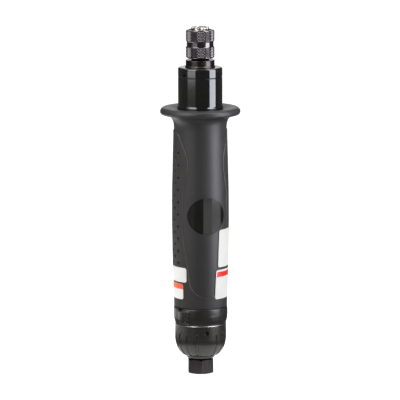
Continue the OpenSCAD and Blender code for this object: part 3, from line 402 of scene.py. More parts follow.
def front_disc(name, radius, inset, outer=None, around=96, rings=10):
    """A round patch on the front, inset below the shell; with outer it is a closed plug."""
    turn = np.linspace(0, 2 * math.pi, around, endpoint=False)
    rows = []
    for share in np.linspace(1, 0, rings):
        x, z = radius * share * np.cos(turn), badge_z + radius * share * np.sin(turn)
        rows.append(np.stack([x, -np.sqrt((shell_r(z) - inset) ** 2 - x**2), z], axis=-1))
    if outer:
        x, z = radius * np.cos(turn), badge_z + radius * np.sin(turn)
        centre = np.stack([0 * turn, 0 * turn - outer, 0 * turn + badge_z], axis=-1)
        rows = [centre, np.stack([x, 0 * turn - outer, z], axis=-1)] + rows
    return skin(name, rows)


def outward(piece):
    """Turns all faces of the piece to face out."""
    work = bmesh.new()
    work.from_mesh(piece.data)
    bmesh.ops.recalc_face_normals(work, faces=work.faces)
    work.to_mesh(piece.data)
    work.free()


def applied(piece, smooth_deg):
    """Takes what the modifiers make as the piece's own mesh, shaded smooth up to its edges."""
    shaped = piece.evaluated_get(bpy.context.evaluated_depsgraph_get())
    result = bpy.data.meshes.new_from_object(shaped)
    piece.modifiers.clear()
    piece.data = result
    result.shade_smooth()
    result.set_sharp_from_angle(angle=math.radians(smooth_deg))
    return piece


def cut(piece, cutter, smooth_deg=35):
    outward(piece)
    outward(cutter)
    boolean = piece.modifiers.new("cut", "BOOLEAN")
    boolean.operation = "DIFFERENCE"
    boolean.solver = "EXACT"
    boolean.object = cutter
    applied(piece, smooth_deg)
    bpy.data.objects.remove(cutter)
    return piece


# %% [markdown]
# The guard's rim is a bead, rounder on top, and its top is dished towards the housing. Under the
# pads the shell steps inward, which leaves the room that the dimples need.

# %% The hard shell with its thumb guard
flare_h, guard_t, bore_r, dish_deep = 10.6, 5.2, 16.05, 1.6
low_round, top_round = 0.38 * guard_t, 0.6 * guard_t
flare_z = guard_top - guard_t - flare_h
flare_w = guard_r - low_round - neck_r
flare_curve = [
    (neck_r + flare_w * (1 - math.cos(a)) ** 1.35, flare_z + flare_h * math.sin(a))
    for a in np.linspace(0, math.pi / 2, 32)[:-1]
]
low_z, top_z = guard_top - guard_t + low_round, guard_top - top_round
bead = [
    (guard_r - low_round + low_round * math.cos(a), low_z + low_round * math.sin(a))
    for a in np.linspace(-math.pi / 2, 0, 10)
] + [
    (guard_r - top_round + top_round * math.cos(a), top_z + top_round * math.sin(a))
    for a in np.linspace(0, math.pi / 2, 12)
]
dish = smooth([(24.0, 0.0), (22.0, 0.15), (19.5, 0.7), (17.4, 1.4), (bore_r, dish_deep)], 5)
base_round = 0.3
heights = np.arange(grip_low + 0.4, flare_z - 0.5, 1.0)
dimple_deep = 1.35
dimple_room, room_edge, room_slope = dimple_deep, 0.8, 0.6
room_low, room_high = grip_low + 26, pads_top - 1.5
shell_profile = (
    [(bore_r, guard_top - dish_deep), (bore_r, grip_low)]
    + [(base_r - base_round, grip_low), (base_r, grip_low + base_round)]
    + [(float(shell_r(z)), z) for z in heights]
    + flare_curve
    + bead
    + [(float(r), guard_top - deep) for r, deep in dish]
)
shell_turns = np.linspace(0, 2 * math.pi, 384, endpoint=False)
from_side = np.abs(np.abs(np.angle(np.exp(1j * shell_turns))) - math.pi / 2)
shell_rows = []
for r, z in shell_profile:
    under_pad = np.zeros(len(shell_turns))
    if room_low < z < room_high and r > bore_r + 1:
        inside = (math.pi / 2 - float(shield_edge(z)) - from_side) * r
        under_pad = np.clip((inside - room_edge) / room_slope, 0, 1)
    shell_rows.append(row_at(r - dimple_room * under_pad, shell_turns, z))
shell = skin("grip_shell_skin", shell_rows)
cut(shell, front_disc("badge_pocket", badge_r + 0.25, 0.45, outer=24))
stands_for(shell, "grip_shell")
print("shell has", len(shell.data.polygons), "faces")

# %% [markdown]
# Each pad is a sheet of points whose side columns follow the shield's edge. The sheet rises from
# the shell over half a millimetre with a rounded shoulder. There are 14 rows from one dimple to
# the next, and 14 columns where the pad is wide enough, so that a dimple there is centred on a
# point. A search tree of points along the shield's edge gives each point's distance from it.

# %% The soft pads
dimple_step_z = 4.34
dimple_step_deg = 12.0
dimple_first_z = grip_low + 32.1
dimple_columns, dimple_rows = 5, 10
per_step = 14
fine = dimple_step_z / per_step
middle_rows = dimple_first_z + fine * np.arange(-per_step, per_step * 2 * dimple_rows)
pad_z = np.concatenate([
    [grip_low, grip_low + 0.1, grip_low + 0.3, grip_low + 0.6],
    np.arange(grip_low + 1.2, shield_low - 0.5, 0.8),
    np.arange(shield_low - 0.3, shield_low + 6, 0.2),
    np.arange(shield_low + 6.4, middle_rows[0] - 0.2, 0.7),
    middle_rows,
    np.arange(middle_rows[-1] + 0.35, pads_top - 0.1, 0.3),
    [pads_top],
])  # fmt: skip
edge_samples = np.arange(shield_low - 0.01, pads_top + 0.3, 0.15)
edge_tree = KDTree(2 * len(edge_samples))
for i, z in enumerate(edge_samples):
    edge = shield_edge(z) * shell_r(z)
    edge_tree.insert((edge, z, 0), 2 * i)
    edge_tree.insert((math.pi * shell_r(z) - edge, z, 0), 2 * i + 1)
edge_tree.balance()

shoulder = 0.5
fixed = np.radians(dimple_step_deg / per_step) * np.arange(-36, 37)
rim_offsets = np.array([0, 0.03, 0.09, 0.17, 0.27, 0.4, 0.6, 1.1])


def pad_rows():
    rows = []
    for z in pad_z:
        r = float(shell_r(z))
        edge = float(shield_edge(z))
        half = math.pi / 2 - edge
        rim = rim_offsets * min(1.0, half * r / 4) / r
        inner = min(fixed[-1], max(0.0, half - rim[-1]) * 0.8)
        strip = np.linspace(half - rim[-1], inner, 9)[1:-1]
        left = np.concatenate([half - rim, strip])
        turn = np.concatenate([-left, fixed * inner / fixed[-1], left[::-1]]) + math.pi / 2
        rise = []
        for t in turn:
            near = edge_tree.find((t * r, z, 0))[2] if z > shield_low - 1 else 9.0
            near = min(near, z - grip_low + 0.12)
            share = min(1.0, max(0.0, near) / shoulder)
            rise.append(pad_proud * math.sqrt(max(0.0, 1 - (1 - share) ** 2)))
        radius = r + np.array(rise)
        if z > shield_low:
            radius[0] = radius[-1] = r - 0.3
            radius[1] = radius[-2] = r + 0.05
        rows.append(row_at(radius, turn, z))
    return np.array(rows)


one_side = pad_rows()
other_side = one_side[:, ::-1] * [-1, 1, 1]
print("a pad has", one_side.shape, "points")

# %% [markdown]
# Geometry Nodes press a shape into a skin. Each point asks how far it is from a guide object,
# made of loose points or edges, and moves inward by a depth that fades out at the guide's reach.
# The tree is made once for points, for the dimples, and once for edges, for the cap's flutes.


# %% The press-in tree
def open_tree(name, kinds):
    """A tree that takes geometry and the named inputs, and gives geometry."""
    tree = bpy.data.node_groups.new(name, "GeometryNodeTree")
    face = tree.interface
    face.new_socket("Geometry", in_out="INPUT", socket_type="NodeSocketGeometry")
    ids = {}
    for name, kind in kinds.items():
        socket = face.new_socket(name, in_out="INPUT", socket_type="NodeSocket" + kind)
        ids[name] = socket.identifier
    face.new_socket("Geometry", in_out="OUTPUT", socket_type="NodeSocketGeometry")
    return tree, ids, add(tree, "NodeGroupInput").outputs


def close_tree(tree, geometry, finish):
    """Makes copies real, gives all of it the finish and hands it out."""
    real = add(tree, "GeometryNodeRealizeInstances", {"Geometry": geometry})
    dressed = {"Geometry": real.outputs[0], "Material": finish}
    last = add(tree, "GeometryNodeSetMaterial", dressed)
    add(tree, "NodeGroupOutput", {"Geometry": last.outputs[0]})


def press_tree(element):
    floats = {"Reach": "Float", "Fade": "Float", "Depth": "Float"}
    kinds = {"Guide": "Object"} | floats | {"Finish": "Material"}
    tree, ids, given = open_tree("press in " + element.lower(), kinds)
    guide = add(tree, "GeometryNodeObjectInfo", {"Object": given["Guide"]})
    target = {"Geometry": guide.outputs["Geometry"]}
    near = add(tree, "GeometryNodeProximity", target, target_element=element)
    start = add(tree, "ShaderNodeMath", {0: given["Reach"], 1: given["Fade"]}, operation="SUBTRACT")
    fades = {"Value": near.outputs["Distance"], "From Min": start.outputs[0], "From Max": given["Reach"]}
    smoothly = {"interpolation_type": "SMOOTHSTEP", "To_Min": -1.0, "To_Max": 0.0}
    share = add(tree, "ShaderNodeMapRange", fades, **smoothly)
    deep = add(tree, "ShaderNodeMath", {0: share.outputs[0], 1: given["Depth"]}, operation="MULTIPLY")
    normal = add(tree, "GeometryNodeInputNormal")
    inward = {0: normal.outputs[0], "Scale": deep.outputs[0]}
    offset = add(tree, "ShaderNodeVectorMath", inward, operation="SCALE")
    pressed = {"Geometry": given["Geometry"], "Offset": offset.outputs[0]}
    moved = add(tree, "GeometryNodeSetPosition", pressed)
    close_tree(tree, moved.outputs[0], given["Finish"])
    return tree, ids


def run_tree(piece, tree, ids, values, smooth_deg=35):
    modifier = piece.modifiers.new("shape", "NODES")
    modifier.node_group = tree
    for name, value in values.items():
        modifier[ids[name]] = value
    piece.update_tag()
    bpy.context.view_layer.update()
    return applied(piece, smooth_deg)


def guide_object(name, points, edges=()):
    mesh = bpy.data.meshes.new(name)
    mesh.from_pydata((np.asarray(points, float) * mm).tolist(), list(edges), [])
    piece = bpy.data.objects.new(name, mesh)
    bpy.context.scene.collection.objects.link(piece)
    return piece


# %% Press the dimples into the pads
dimples = []
for side in (90, -90):
    for column in range(dimple_columns):
        for row in range(dimple_rows):
            turn = math.radians(side + dimple_step_deg * (column - dimple_columns // 2))
            z = dimple_first_z + dimple_step_z * (2 * row + column % 2)
            dimples.append(spot(float(shell_r(z)) + pad_proud, turn, z))
points_tree, points_ids = press_tree("POINTS")
left_pad = skin("pad_left", other_side, around=False)
right_pad = skin("pad_right", one_side, around=False)
joined = bmesh.new()
joined.from_mesh(left_pad.data)
joined.from_mesh(right_pad.data)
pads_mesh = bpy.data.meshes.new("grip_pads_skin")
bmesh.ops.remove_doubles(joined, verts=joined.verts, dist=2e-6)
joined.to_mesh(pads_mesh)
joined.free()
bpy.data.objects.remove(left_pad)
bpy.data.objects.remove(right_pad)
pads = finished("grip_pads_skin", pads_mesh, 50)
guide = guide_object("dimple_guide", dimples)
press = {"Guide": guide, "Reach": 1.3 * mm, "Fade": 0.6 * mm, "Depth": dimple_deep * mm}
run_tree(pads, points_tree, points_ids, press | {"Finish": materials["grip_rubber"]}, 50)
bpy.data.objects.remove(guide)
# Faces along the shield's edge take the pad rim finish: really glossier, and lighter as a painted
# highlight.
pads.data.materials.append(materials["pad_rim_painted_highlight"])
for face in pads.data.polygons:
    x, y, z = face.center / mm
    if z > shield_low - 1:
        turn = math.atan2(abs(x), -y)
        if edge_tree.find((turn * float(shell_r(z)), z, 0))[2] < shoulder:
            face.material_index = len(pads.data.materials) - 1
stands_for(pads, "grip_pads")
print("the pads have", len(pads.data.polygons), "faces and", len(dimples), "dimples")

# %% The badge
badge = front_disc("badge_skin", badge_r, 0.22)
stands_for(badge, "badge_plate")

# %% [markdown]
# ## The exhaust cap
#
# The cap is a cylinder with a domed lower end. Its flutes are pressed in along guide lines that
# follow the dome. The columns of the mesh run along each flute's two edges, so they stay crisp.

# %% The fluted cap
cap_r = widest("exhaust_cap") + skin_over
rim_r, rim_h, dome_h, dome_power = 10.3, 1.6, 13.0, 1.8
flute_places, flute_w, flute_depth = 16, 2.6, 0.7
cap_edge = 0.75
flute_top = cap_high - 6.4 - flute_w / 2
dome_low = cap_low + rim_h
u = np.cos(np.linspace(0, math.pi / 2, 44))
dome_foot = rim_r + 0.4
dome = [
    (dome_foot + (cap_r - dome_foot) * (1 - v**dome_power) ** (1 / dome_power), dome_low + dome_h * (1 - v))
    for v in u
]
straight = np.concatenate([
    np.arange(dome[-1][1] + 0.4, flute_top - 0.2, 0.5),
    np.arange(flute_top - 0.1, flute_top + flute_w / 2 + 0.5, 0.1),
    np.arange(flute_top + flute_w / 2 + 0.8, cap_high - 0.5, 0.8),
])  # fmt: skip
outlet = [
    (9.2, cap_low + 6), (9.2, cap_low + 0.15), (9.35, cap_low),
    (rim_r - 0.55, cap_low), (rim_r - 0.3, cap_low + 0.2), (rim_r, dome_low - 0.1),
]  # fmt: skip
chamfer = [
    (cap_r, cap_high - cap_edge), (cap_r - 0.08, cap_high - 0.62), (cap_r - 0.6, cap_high - 0.06),
    (cap_r - cap_edge, cap_high), (15.1, cap_high), (15.1, cap_high - 3),
]  # fmt: skip
cap_profile = outlet + dome + [(cap_r, z) for z in straight] + chamfer
half_flute = flute_w / 2
edge_columns = [-half_flute + step for step in (-0.3, 0, 0.15, 0.3, 0.5)]
offsets = np.array(edge_columns + [-0.4])
offsets = np.concatenate([offsets, -offsets[::-1]])
cap_rows = []
for r, z in cap_profile:
    turns = []
    for i in range(flute_places):
        middle = 2 * math.pi * i / flute_places
        at_edges = np.arcsin(np.clip(offsets / r, -0.9, 0.9))
        step = math.pi / flute_places
        between = np.linspace(at_edges[-1], 2 * step + at_edges[0], 6)[1:-1]
        turns.append(middle + np.concatenate([at_edges, between]))
    turns = np.concatenate(turns)
    cap_rows.append(row_at(r, turns, z))
cap = skin("exhaust_cap_skin", cap_rows)

guide_points, guide_edges = [], []
line = [(rim_r + 0.2, dome_low)] + dome + [(cap_r, flute_top)]
for i in range(1, flute_places):
    turn = 2 * math.pi * i / flute_places
    first = len(guide_points)
    guide_points += [spot(r, turn, z) for r, z in line]
    guide_edges += [(first + k, first + k + 1) for k in range(len(line) - 1)]
edges_tree, edges_ids = press_tree("EDGES")
guide = guide_object("flute_guide", guide_points, guide_edges)
press = {"Guide": guide, "Reach": half_flute * mm, "Fade": 0.5 * mm, "Depth": flute_depth * mm}
run_tree(cap, edges_tree, edges_ids, press | {"Finish": materials["anodised_cap"]}, 60)
bpy.data.objects.remove(guide)
print("the cap has", len(cap.data.polygons), "faces")

# %% [markdown]
# The set screw's hole and the spanner holes are drilled with plain round cutters. The cap's upper
# edge is turned bright after the black coat.


# %% A drill that points outward
screw_hole_r = 1.65


def drill(radius, start, end, turn_deg, z, around=48):
    turn = math.radians(turn_deg)
    out = np.array([math.sin(turn), -math.cos(turn), 0])
    side = np.array([math.cos(turn), math.sin(turn), 0])
    up = np.array([0, 0, 1.0])
    angle = np.linspace(0, 2 * math.pi, around, endpoint=False)
    circle = radius * (np.cos(angle)[:, None] * side + np.sin(angle)[:, None] * up)
    centre = np.array([0, 0, z])
    near, far = centre + out * start, centre + out * end
    return skin("drill", [0 * circle + near, circle + near, circle + far, 0 * circle + far])


cut(cap, drill(screw_hole_r, 14.0, 20.0, 0, cap_high - 5.5), 60)
cap.data.materials.append(materials["turned_edge"])
for face in cap.data.polygons:
    high_up = face.center.z > (cap_high - 0.74) * mm and face.normal.z > 0.3
    if high_up and face.center.xy.length > (cap_r - 0.8) * mm:
        face.material_index = len(cap.data.materials) - 1
stands_for(cap, "exhaust_cap")

# %% [markdown]
# ## The reversing ring
#
# The ring bulges a little and is drawn in at its lower edge. Its thumb tab has a smooth face on
# one side of the ridge and raised dots on the other.

# %% The ring and its tab
ring_r = 19.2
ring_side = [
    (16.2, ring_low), (17.75, ring_low), (18.3, ring_low + 0.35), (18.65, ring_low + 1.8),
    (19.0, ring_low + 3.4), (19.18, ring_low + 6.0), (19.15, ring_low + 9.2), (19.05, ring_high - 0.9),
    (18.85, ring_high - 0.25), (18.5, ring_high), (16.2, ring_high),
]  # fmt: skip
ring_side = rounded(ring_side, 1.2, 5)
ring_r_z = np.array(ring_side[1:-1])
fine_side = [ring_side[0]]
for before, here in zip(ring_side, ring_side[1:]):
    parts = max(1, math.ceil(abs(here[1] - before[1]) / 0.22))
    apart = np.subtract(here, before)
    fine_side += [tuple(np.add(before, apart * k / parts)) for k in range(1, parts + 1)]
ring_side = fine_side
tab_ridge, tab_left, tab_right = -54.5, -71.0, -38.0
tab_proud = 1.6
turn_deg = np.concatenate([
    np.arange(-180, tab_left - 2, 3.0),
    np.arange(tab_left - 2, tab_right + 2, 0.25),
    np.arange(tab_right + 2, 179.9, 3.0),
])  # fmt: skip


def tab_rise(deg):
    """Share of the tab's height at an angle: steep at the left edge, then a slope up and one down."""
    left, right = [tab_left, tab_left + 2.5], [tab_right - 1.5, tab_right]
    top = [tab_ridge - 4, tab_ridge - 1.2, tab_ridge + 0.6]
    return np.interp(deg, left + top + right, [0, 0.32, 0.93, 1, 0.97, 0.12, 0])


def ring_surface(z):
    """The ring's radius at a height, without the tab."""
    return float(np.interp(z, ring_r_z[:, 1], ring_r_z[:, 0]))


tab_heights = [ring_low + 0.2, ring_low + 1.1, ring_high - 1.9, ring_high - 1.1]
notch_span = np.interp(turn_deg, [-66.5, -66, -58.5, -58], [0, 1, 1, 0])
notch_deep = 1.2
ring_rows = []
for r, z in ring_side:
    across = np.interp(z, tab_heights, [0, 1, 1, 0])
    rise = tab_proud * tab_rise(turn_deg) * across if r > 17.2 else 0 * turn_deg
    notch = notch_span * (z > ring_high - 1.6) * (r > 17.5) * notch_deep
    ring_rows.append(row_at(r + rise - notch, np.radians(turn_deg), z))
ring = skin("reversing_ring_skin", ring_rows, smooth_deg=40)

# %% [markdown]
# The raised dots are copies of one small stud on a few points, and the knurl is copies of another
# on many. The tree turns the top of each copy away from the axis, and then makes the copies real.


# %% The stud tree
def stud_tree():
    kinds = {"Stud": "Object", "Size": "Float", "Finish": "Material"}
    tree, ids, given = open_tree("studs on points", kinds)
    place = add(tree, "GeometryNodeInputPosition")
    split = add(tree, "ShaderNodeSeparateXYZ", {0: place.outputs[0]})
    sides = {0: split.outputs["Y"], 1: split.outputs["X"]}
    around = add(tree, "ShaderNodeMath", sides, operation="ARCTAN2")
    turn = add(tree, "ShaderNodeCombineXYZ", {"Z": around.outputs[0]}, Y=math.pi / 2)
    stud = add(tree, "GeometryNodeObjectInfo", {"Object": given["Stud"]})
    stood = {
        "Points": given["Geometry"],
        "Instance": stud.outputs["Geometry"],
        "Rotation": turn.outputs[0],
        "Scale": given["Size"],
    }
    copies = add(tree, "GeometryNodeInstanceOnPoints", stood)
    close_tree(tree, copies.outputs[0], given["Finish"])
    return tree, ids


studs, stud_ids = stud_tree()

# %% Raised dots on the tab
dot_turn = np.linspace(0, 2 * math.pi, 12, endpoint=False)
dot_profile = ((0.76, -0.3), (0.74, 0.1), (0.56, 0.4), (0.26, 0.54), (0.0, 0.57))
dot_rows = [(r * np.cos(dot_turn), r * np.sin(dot_turn), np.full(12, h)) for r, h in dot_profile]
dot = skin("dot_stud", [np.stack(row, axis=-1) for row in dot_rows])
dot_points = []
dot_sunk = 0.05
for deg, dot_heights in ((-47.1, (39.35, 41.7, 44.3)), (-41.9, (38.2, 40.8, 43.6, 46.0))):
    for z in dot_heights:
        r = ring_surface(z) + tab_proud * float(tab_rise(deg)) - dot_sunk
        dot_points.append(spot(r, math.radians(deg), z))
dots = guide_object("tab_dots", dot_points)
run_tree(dots, studs, stud_ids, {"Stud": dot, "Size": 1.0, "Finish": materials["ring_plastic"]})
bpy.data.objects.remove(dot)
print("the dots have", len(dots.data.polygons), "faces")


# %% The arrow, three low beads on the ring
def bead_on_ring(name, start, end, width=0.42, height=0.16):
    """A low closed bead between two places, each an angle in degrees and a height."""
    half, quarter = width / 2, width / 4
    left = [(-half, -0.1), (-half, height / 2), (-quarter, height)]
    section = left + [(-x, up) for x, up in left[::-1]]
    along = np.array([math.radians(end[0] - start[0]) * ring_r, end[1] - start[1]])
    across = np.array([-along[1], along[0]]) / np.linalg.norm(along)
    rows = []
    for share in np.linspace(0, 1, 10):
        row = []
        for side, up in section:
            z = start[1] + (end[1] - start[1]) * share + across[1] * side
            a = math.radians(start[0] + (end[0] - start[0]) * share) + across[0] * side / ring_r
            row.append(spot(ring_surface(z) + up, a, z))
        rows.append(row)
    caps = [[tuple(np.mean(rows[i], axis=0))] * len(section) for i in (0, -1)]
    piece = skin(name, [caps[0]] + rows + [caps[1]], smooth_deg=40)
    outward(piece)
    return piece


arrow_z, arrow_tip = 42.5, 19.0
beads = [
    bead_on_ring("arrow_shaft", (-8.4, arrow_z), (arrow_tip - 0.6, arrow_z)),
    bead_on_ring("arrow_upper", (9.8, arrow_z + 1.4), (arrow_tip, arrow_z - 0.1)),
    bead_on_ring("arrow_lower", (9.8, arrow_z - 1.4), (arrow_tip, arrow_z + 0.1)),
]


# %% Ring, dots and arrow joined
def joined_into(piece, parts, finish):
    """Adds the parts' meshes to the piece, in one finish, and deletes the parts."""
    merged = bmesh.new()
    merged.from_mesh(piece.data)
    for part in parts:
        merged.from_mesh(part.data)
        bpy.data.objects.remove(part)
    merged.to_mesh(piece.data)
    merged.free()
    piece.data.materials.clear()
    piece.data.materials.append(materials[finish])


joined_into(ring, [dots] + beads, "ring_plastic")
stands_for(ring, "reversing_ring")

# %% [markdown]
# ## Housing, nose ring and collar
#
# These are plain turned pieces. The housing has a wider foot, which stands in the guard's dish.

# %% The turned pieces of the nose
housing_r = nose_r
foot_r = 16.3
house_top = nose_top - 7.0
housing = turned(
    "clutch_housing_skin",
    rounded(
        [
            (14.6, guard_top - 20), (14.6, guard_top - 3), (foot_r, guard_top - 3),
            (foot_r, guard_top + 0.4, 0.5), (housing_r, guard_top + 1.3, 0.9),
            (housing_r, house_top - 0.4, 0.2), (housing_r - 0.45, house_top, 0.1),
            (12.8, house_top), (12.8, house_top - 8),
        ],
        0.25,
    ),
)  # fmt: skip
stands_for(housing, "clutch_housing")
nose = turned(
    "nose_ring_skin",
    rounded(
        [
            (12.7, house_top - 5.8), (12.7, house_top), (nose_r - 0.45, house_top, 0.1),
            (nose_r, house_top + 0.45, 0.2), (nose_r, nose_top, 1.6), (10.6, nose_top, 0.2),
            (10.5, house_top - 5.8), (12.7, house_top - 5.8),
        ],
        0.2,
        6,
    ),
)  # fmt: skip
spanner_hole_r = 0.9
for deg in (-59, 121):
    cut(nose, drill(spanner_hole_r, 13.8, 18, deg, house_top + 1.95))
stands_for(nose, "nose_ring")
collar_r = 10.45
collar = turned(
    "front_bushing_skin",
    rounded(
        [
            (6.4, nose_top - 6), (collar_r, nose_top - 6), (collar_r + 0.2, nose_top, 0.1),
            (collar_r + 0.2, nose_top + 0.5, 0.2), (collar_r - 0.25, nose_top + 1.0, 0.2),
            (collar_r - 0.25, collar_top, 0.4), (6.4, collar_top, 0.3), (6.4, nose_top - 6),
        ],
        0.2,
    ),
)  # fmt: skip
collar.data.materials.append(materials["collar_steel"])
stands_for(collar, "front_bushing")

# %% [markdown]
# ## The chuck sleeve
#
# The sleeve's two bands carry a diamond knurl of about 1.8 mm. Each diamond is a low pyramid with
# a small flat on top, set on a core that is turned to the bottom of the grooves.

# %% The sleeve's core
z0 = sleeve_low
band_low, band_high = z0 + 8.4, z0 + 11.5
knurl_h = 0.47
core_r = sleeve_r - knurl_h
plain_r = 9.45
sleeve_profile = rounded(
    [
        (6.45, z0 + 2.1), (8.1, z0 + 2.1), (8.1, z0), (core_r - 0.3, z0, 0.1),
        (core_r + 0.1, z0 + 0.5, 0.1), (core_r, z0 + 0.7, 0.05), (core_r, band_low - 0.8, 0.05),
        (core_r + 0.25, band_low - 0.6, 0.1), (sleeve_r - 0.55, band_low, 0.1), (plain_r, band_low, 0.1),
        (plain_r, band_high, 0.1), (sleeve_r - 0.55, band_high, 0.1), (core_r + 0.25, band_high + 0.6, 0.1),
        (core_r, band_high + 0.8, 0.05), (core_r, sleeve_high - 0.8, 0.05),
        (core_r + 0.25, sleeve_high - 0.6, 0.1), (sleeve_r - 0.6, sleeve_high, 0.15),
        (8.1, sleeve_high, 0.15), (8.1, sleeve_high - 6.4), (6.45, sleeve_high - 6.4), (6.45, z0 + 2.1),
    ],
    0.1,
    3,
)  # fmt: skip
sleeve = turned("chuck_sleeve_skin", sleeve_profile)

# %% The knurl
knurl_pitch = 1.8
columns = round(2 * math.pi * sleeve_r / knurl_pitch)
half_w = math.pi * core_r / columns
half_h = knurl_pitch / 2


def knurl_stud():
    flat_share = 0.14
    base = [(-half_h, 0), (0, half_w), (half_h, 0), (0, -half_w)]
    rows = [
        [(x, y, -0.02) for x, y in base],
        [(flat_share * x, flat_share * y, knurl_h) for x, y in base],
        [(0, 0, knurl_h) for _ in base],
    ]
    return skin("knurl_stud", np.array(rows)[:, ::-1], smooth_deg=10)


def knurl_points(z_low, z_high):
    rows = int((z_high - z_low) / half_h)
    step = (z_high - z_low) / rows
    points = []
    for row in range(rows + 1):
        for column in range(columns):
            turn = 2 * math.pi * (column + 0.5 * (row % 2)) / columns
            points.append(spot(core_r, turn, z_low + row * step))
    return points


stud = knurl_stud()
lower_band = knurl_points(z0 + 1.2, band_low - 1.1)
upper_band = knurl_points(band_high + 1.1, sleeve_high - 1.2)
knurl = guide_object("knurl", lower_band + upper_band)
run_tree(knurl, studs, stud_ids, {"Stud": stud, "Size": 1.0, "Finish": materials["sleeve_steel"]}, 10)
bpy.data.objects.remove(stud)
print("the knurl has", len(knurl.data.polygons), "faces")
joined_into(sleeve, [knurl], "sleeve_steel")
stands_for(sleeve, "chuck_sleeve")

# %% [markdown]
# ## Labels
#
# Four stickers wrap round the sides. They are bare here: thin plates of film with plain fields of
# colour. Each is a sheet of points just above the pads, its corners rounded by narrowing the rows.


# %% The bare labels
def label(name, left_deg, right_deg, z_low, z_high, finish, corner=1.6, lift=0.1, round_low=True):
    """A sticker between two angles, each given for its lower and its upper end."""
    z_steps = np.unique(np.concatenate([
        z_low + corner * (1 - np.cos(np.linspace(0, math.pi / 2, 8))),
        np.linspace(z_low + corner, z_high - corner, max(2, int((z_high - z_low) / 1.5))),
        z_high - corner * (1 - np.cos(np.linspace(0, math.pi / 2, 8))),
    ]))  # fmt: skip
    sunk = 0.02
    rows = []
    for z in z_steps:
        tuck = 0.0
        if round_low and z < z_low + corner:
            tuck = corner - math.sqrt(max(0, corner**2 - (z_low + corner - z) ** 2))
        if z > z_high - corner:
            tuck = corner - math.sqrt(max(0, corner**2 - (z - z_high + corner) ** 2))
        r = float(shell_r(z)) + pad_proud + lift
        share = (z - z_low) / (z_high - z_low)
        ends = [low_end + (high_end - low_end) * share for low_end, high_end in (left_deg, right_deg)]
        turn = np.radians(np.linspace(*ends, 40))
        turn = np.clip(turn, turn[0] + tuck / r, turn[-1] - tuck / r)
        edge = np.full(len(turn), r)
        turn = np.concatenate([[turn[0]], turn, [turn[-1]]])
        edge = np.concatenate([[r - lift - sunk], edge, [r - lift - sunk]])
        rows.append(row_at(edge, turn, z))
    first, last = rows[0].copy(), rows[-1].copy()
    for row in (first, last):
        row[:, :2] *= 1 - (lift + sunk) / 19
    piece = skin(name, [first] + rows + [last], around=False)
    piece.data.materials.append(materials[finish])
    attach(piece, "case")
    return piece


left_end, right_end, printed = (-105, -105), (95, 95), 0.14
label("label_left_upper", left_end, (-44.6, -44.6), 67.4, 77.9, "label_paper")
label("label_left_lower", left_end, (-53.9, -53.5), 55.0, 66.2, "label_paper")
header = {"lift": printed, "round_low": False}
label("label_left_header", left_end, (-53.6, -53.6), 62.4, 66.15, "label_orange", **header)
label("label_right_upper", (24.8, 27.4), right_end, 78.1, 104.9, "label_paper")
label("label_right_lower", (18.4, 20.6), right_end, 55.3, 76.3, "label_paper")
bar = {"corner": 0.3, "lift": printed}
label("label_right_bar", (22.6, 22.8), (94.8, 94.8), 71.2, 74.9, "label_red", **bar)

# %% [markdown]
# ## The other pieces
#
# What is left keeps the CAD's shape. A CAD node comes as loose triangles, so a copy of each is
# merged and shaded smooth up to its real edges.


# %% Smooth copies of the CAD nodes
def smooth_copy(node, smooth_deg=32):
    mesh = frame["nodes"][node].data.copy()
    mesh.materials.clear()
    return finished(node + "_skin", mesh, smooth_deg, 1e-6)


for node in sorted(frame["nodes"]):
    if node not in pieces:
        stands_for(smooth_copy(node), node)
for node, piece in pieces.items():
    if not piece.data.materials:
        piece.data.materials.append(materials[slot_of[node]])
print(len(pieces), "pieces in place of", len(frame["nodes"]), "nodes")

# %% [markdown]
# Three springs are pressed together when the spindle is pushed in or the sleeve is pulled. The
# record names them with their joint and the end that stays. Each spring gets its own copy of its
# mesh.

# %% Each spring's own mesh
for joint in frame["record"]["behaviour"]["joints"]:
    for spring in joint.get("deforming_nodes", []):
        node, still = spring["node"], spring["fixed_end_z_m"]
        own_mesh(pieces[node])

# %% [markdown]
# ## The studio
#
# The tool stands on a white floor in front of a white background. Light that only the camera,
# glossy and see-through rays meet keeps that background white.


# %% Floor and background
def seen_directly(tree):
    """A node that gives 1 for camera, glossy and transmission rays, and 0 for the others."""
    path = add(tree, "ShaderNodeLightPath").outputs
    rays = {0: path["Is Camera Ray"], 1: path["Is Glossy Ray"]}
    seen = add(tree, "ShaderNodeMath", rays, operation="MAXIMUM")
    rays = {0: seen.outputs[0], 1: path["Is Transmission Ray"]}
    return add(tree, "ShaderNodeMath", rays, operation="MAXIMUM")


white, white_tree, white_surface = new_material("white studio floor", "#f2f2f2", Roughness=0.6)
seen = seen_directly(white_tree)
glow = add(white_tree, "ShaderNodeEmission", Color=(1, 1, 1, 1), Strength=0.75)
both = add(white_tree, "ShaderNodeAddShader", {0: white_surface.outputs[0], 1: glow.outputs[0]})
shades = {0: seen.outputs[0], 1: white_surface.outputs[0], 2: both.outputs[0]}
pick = add(white_tree, "ShaderNodeMixShader", shades)
white_tree.links.new(pick.outputs[0], white_tree.nodes["Material Output"].inputs["Surface"])

floor_half = 3.0
floor_mesh = bpy.data.meshes.new("studio_floor")
floor_corners = [(floor_half * x, floor_half * y, 0) for x, y in ((-1, -1), (1, -1), (1, 1), (-1, 1))]
floor_mesh.from_pydata(floor_corners, [], [(0, 1, 2, 3)])
floor_piece = bpy.data.objects.new("studio_floor", floor_mesh)
bpy.context.scene.collection.objects.link(floor_piece)
floor_mesh.materials.append(white)

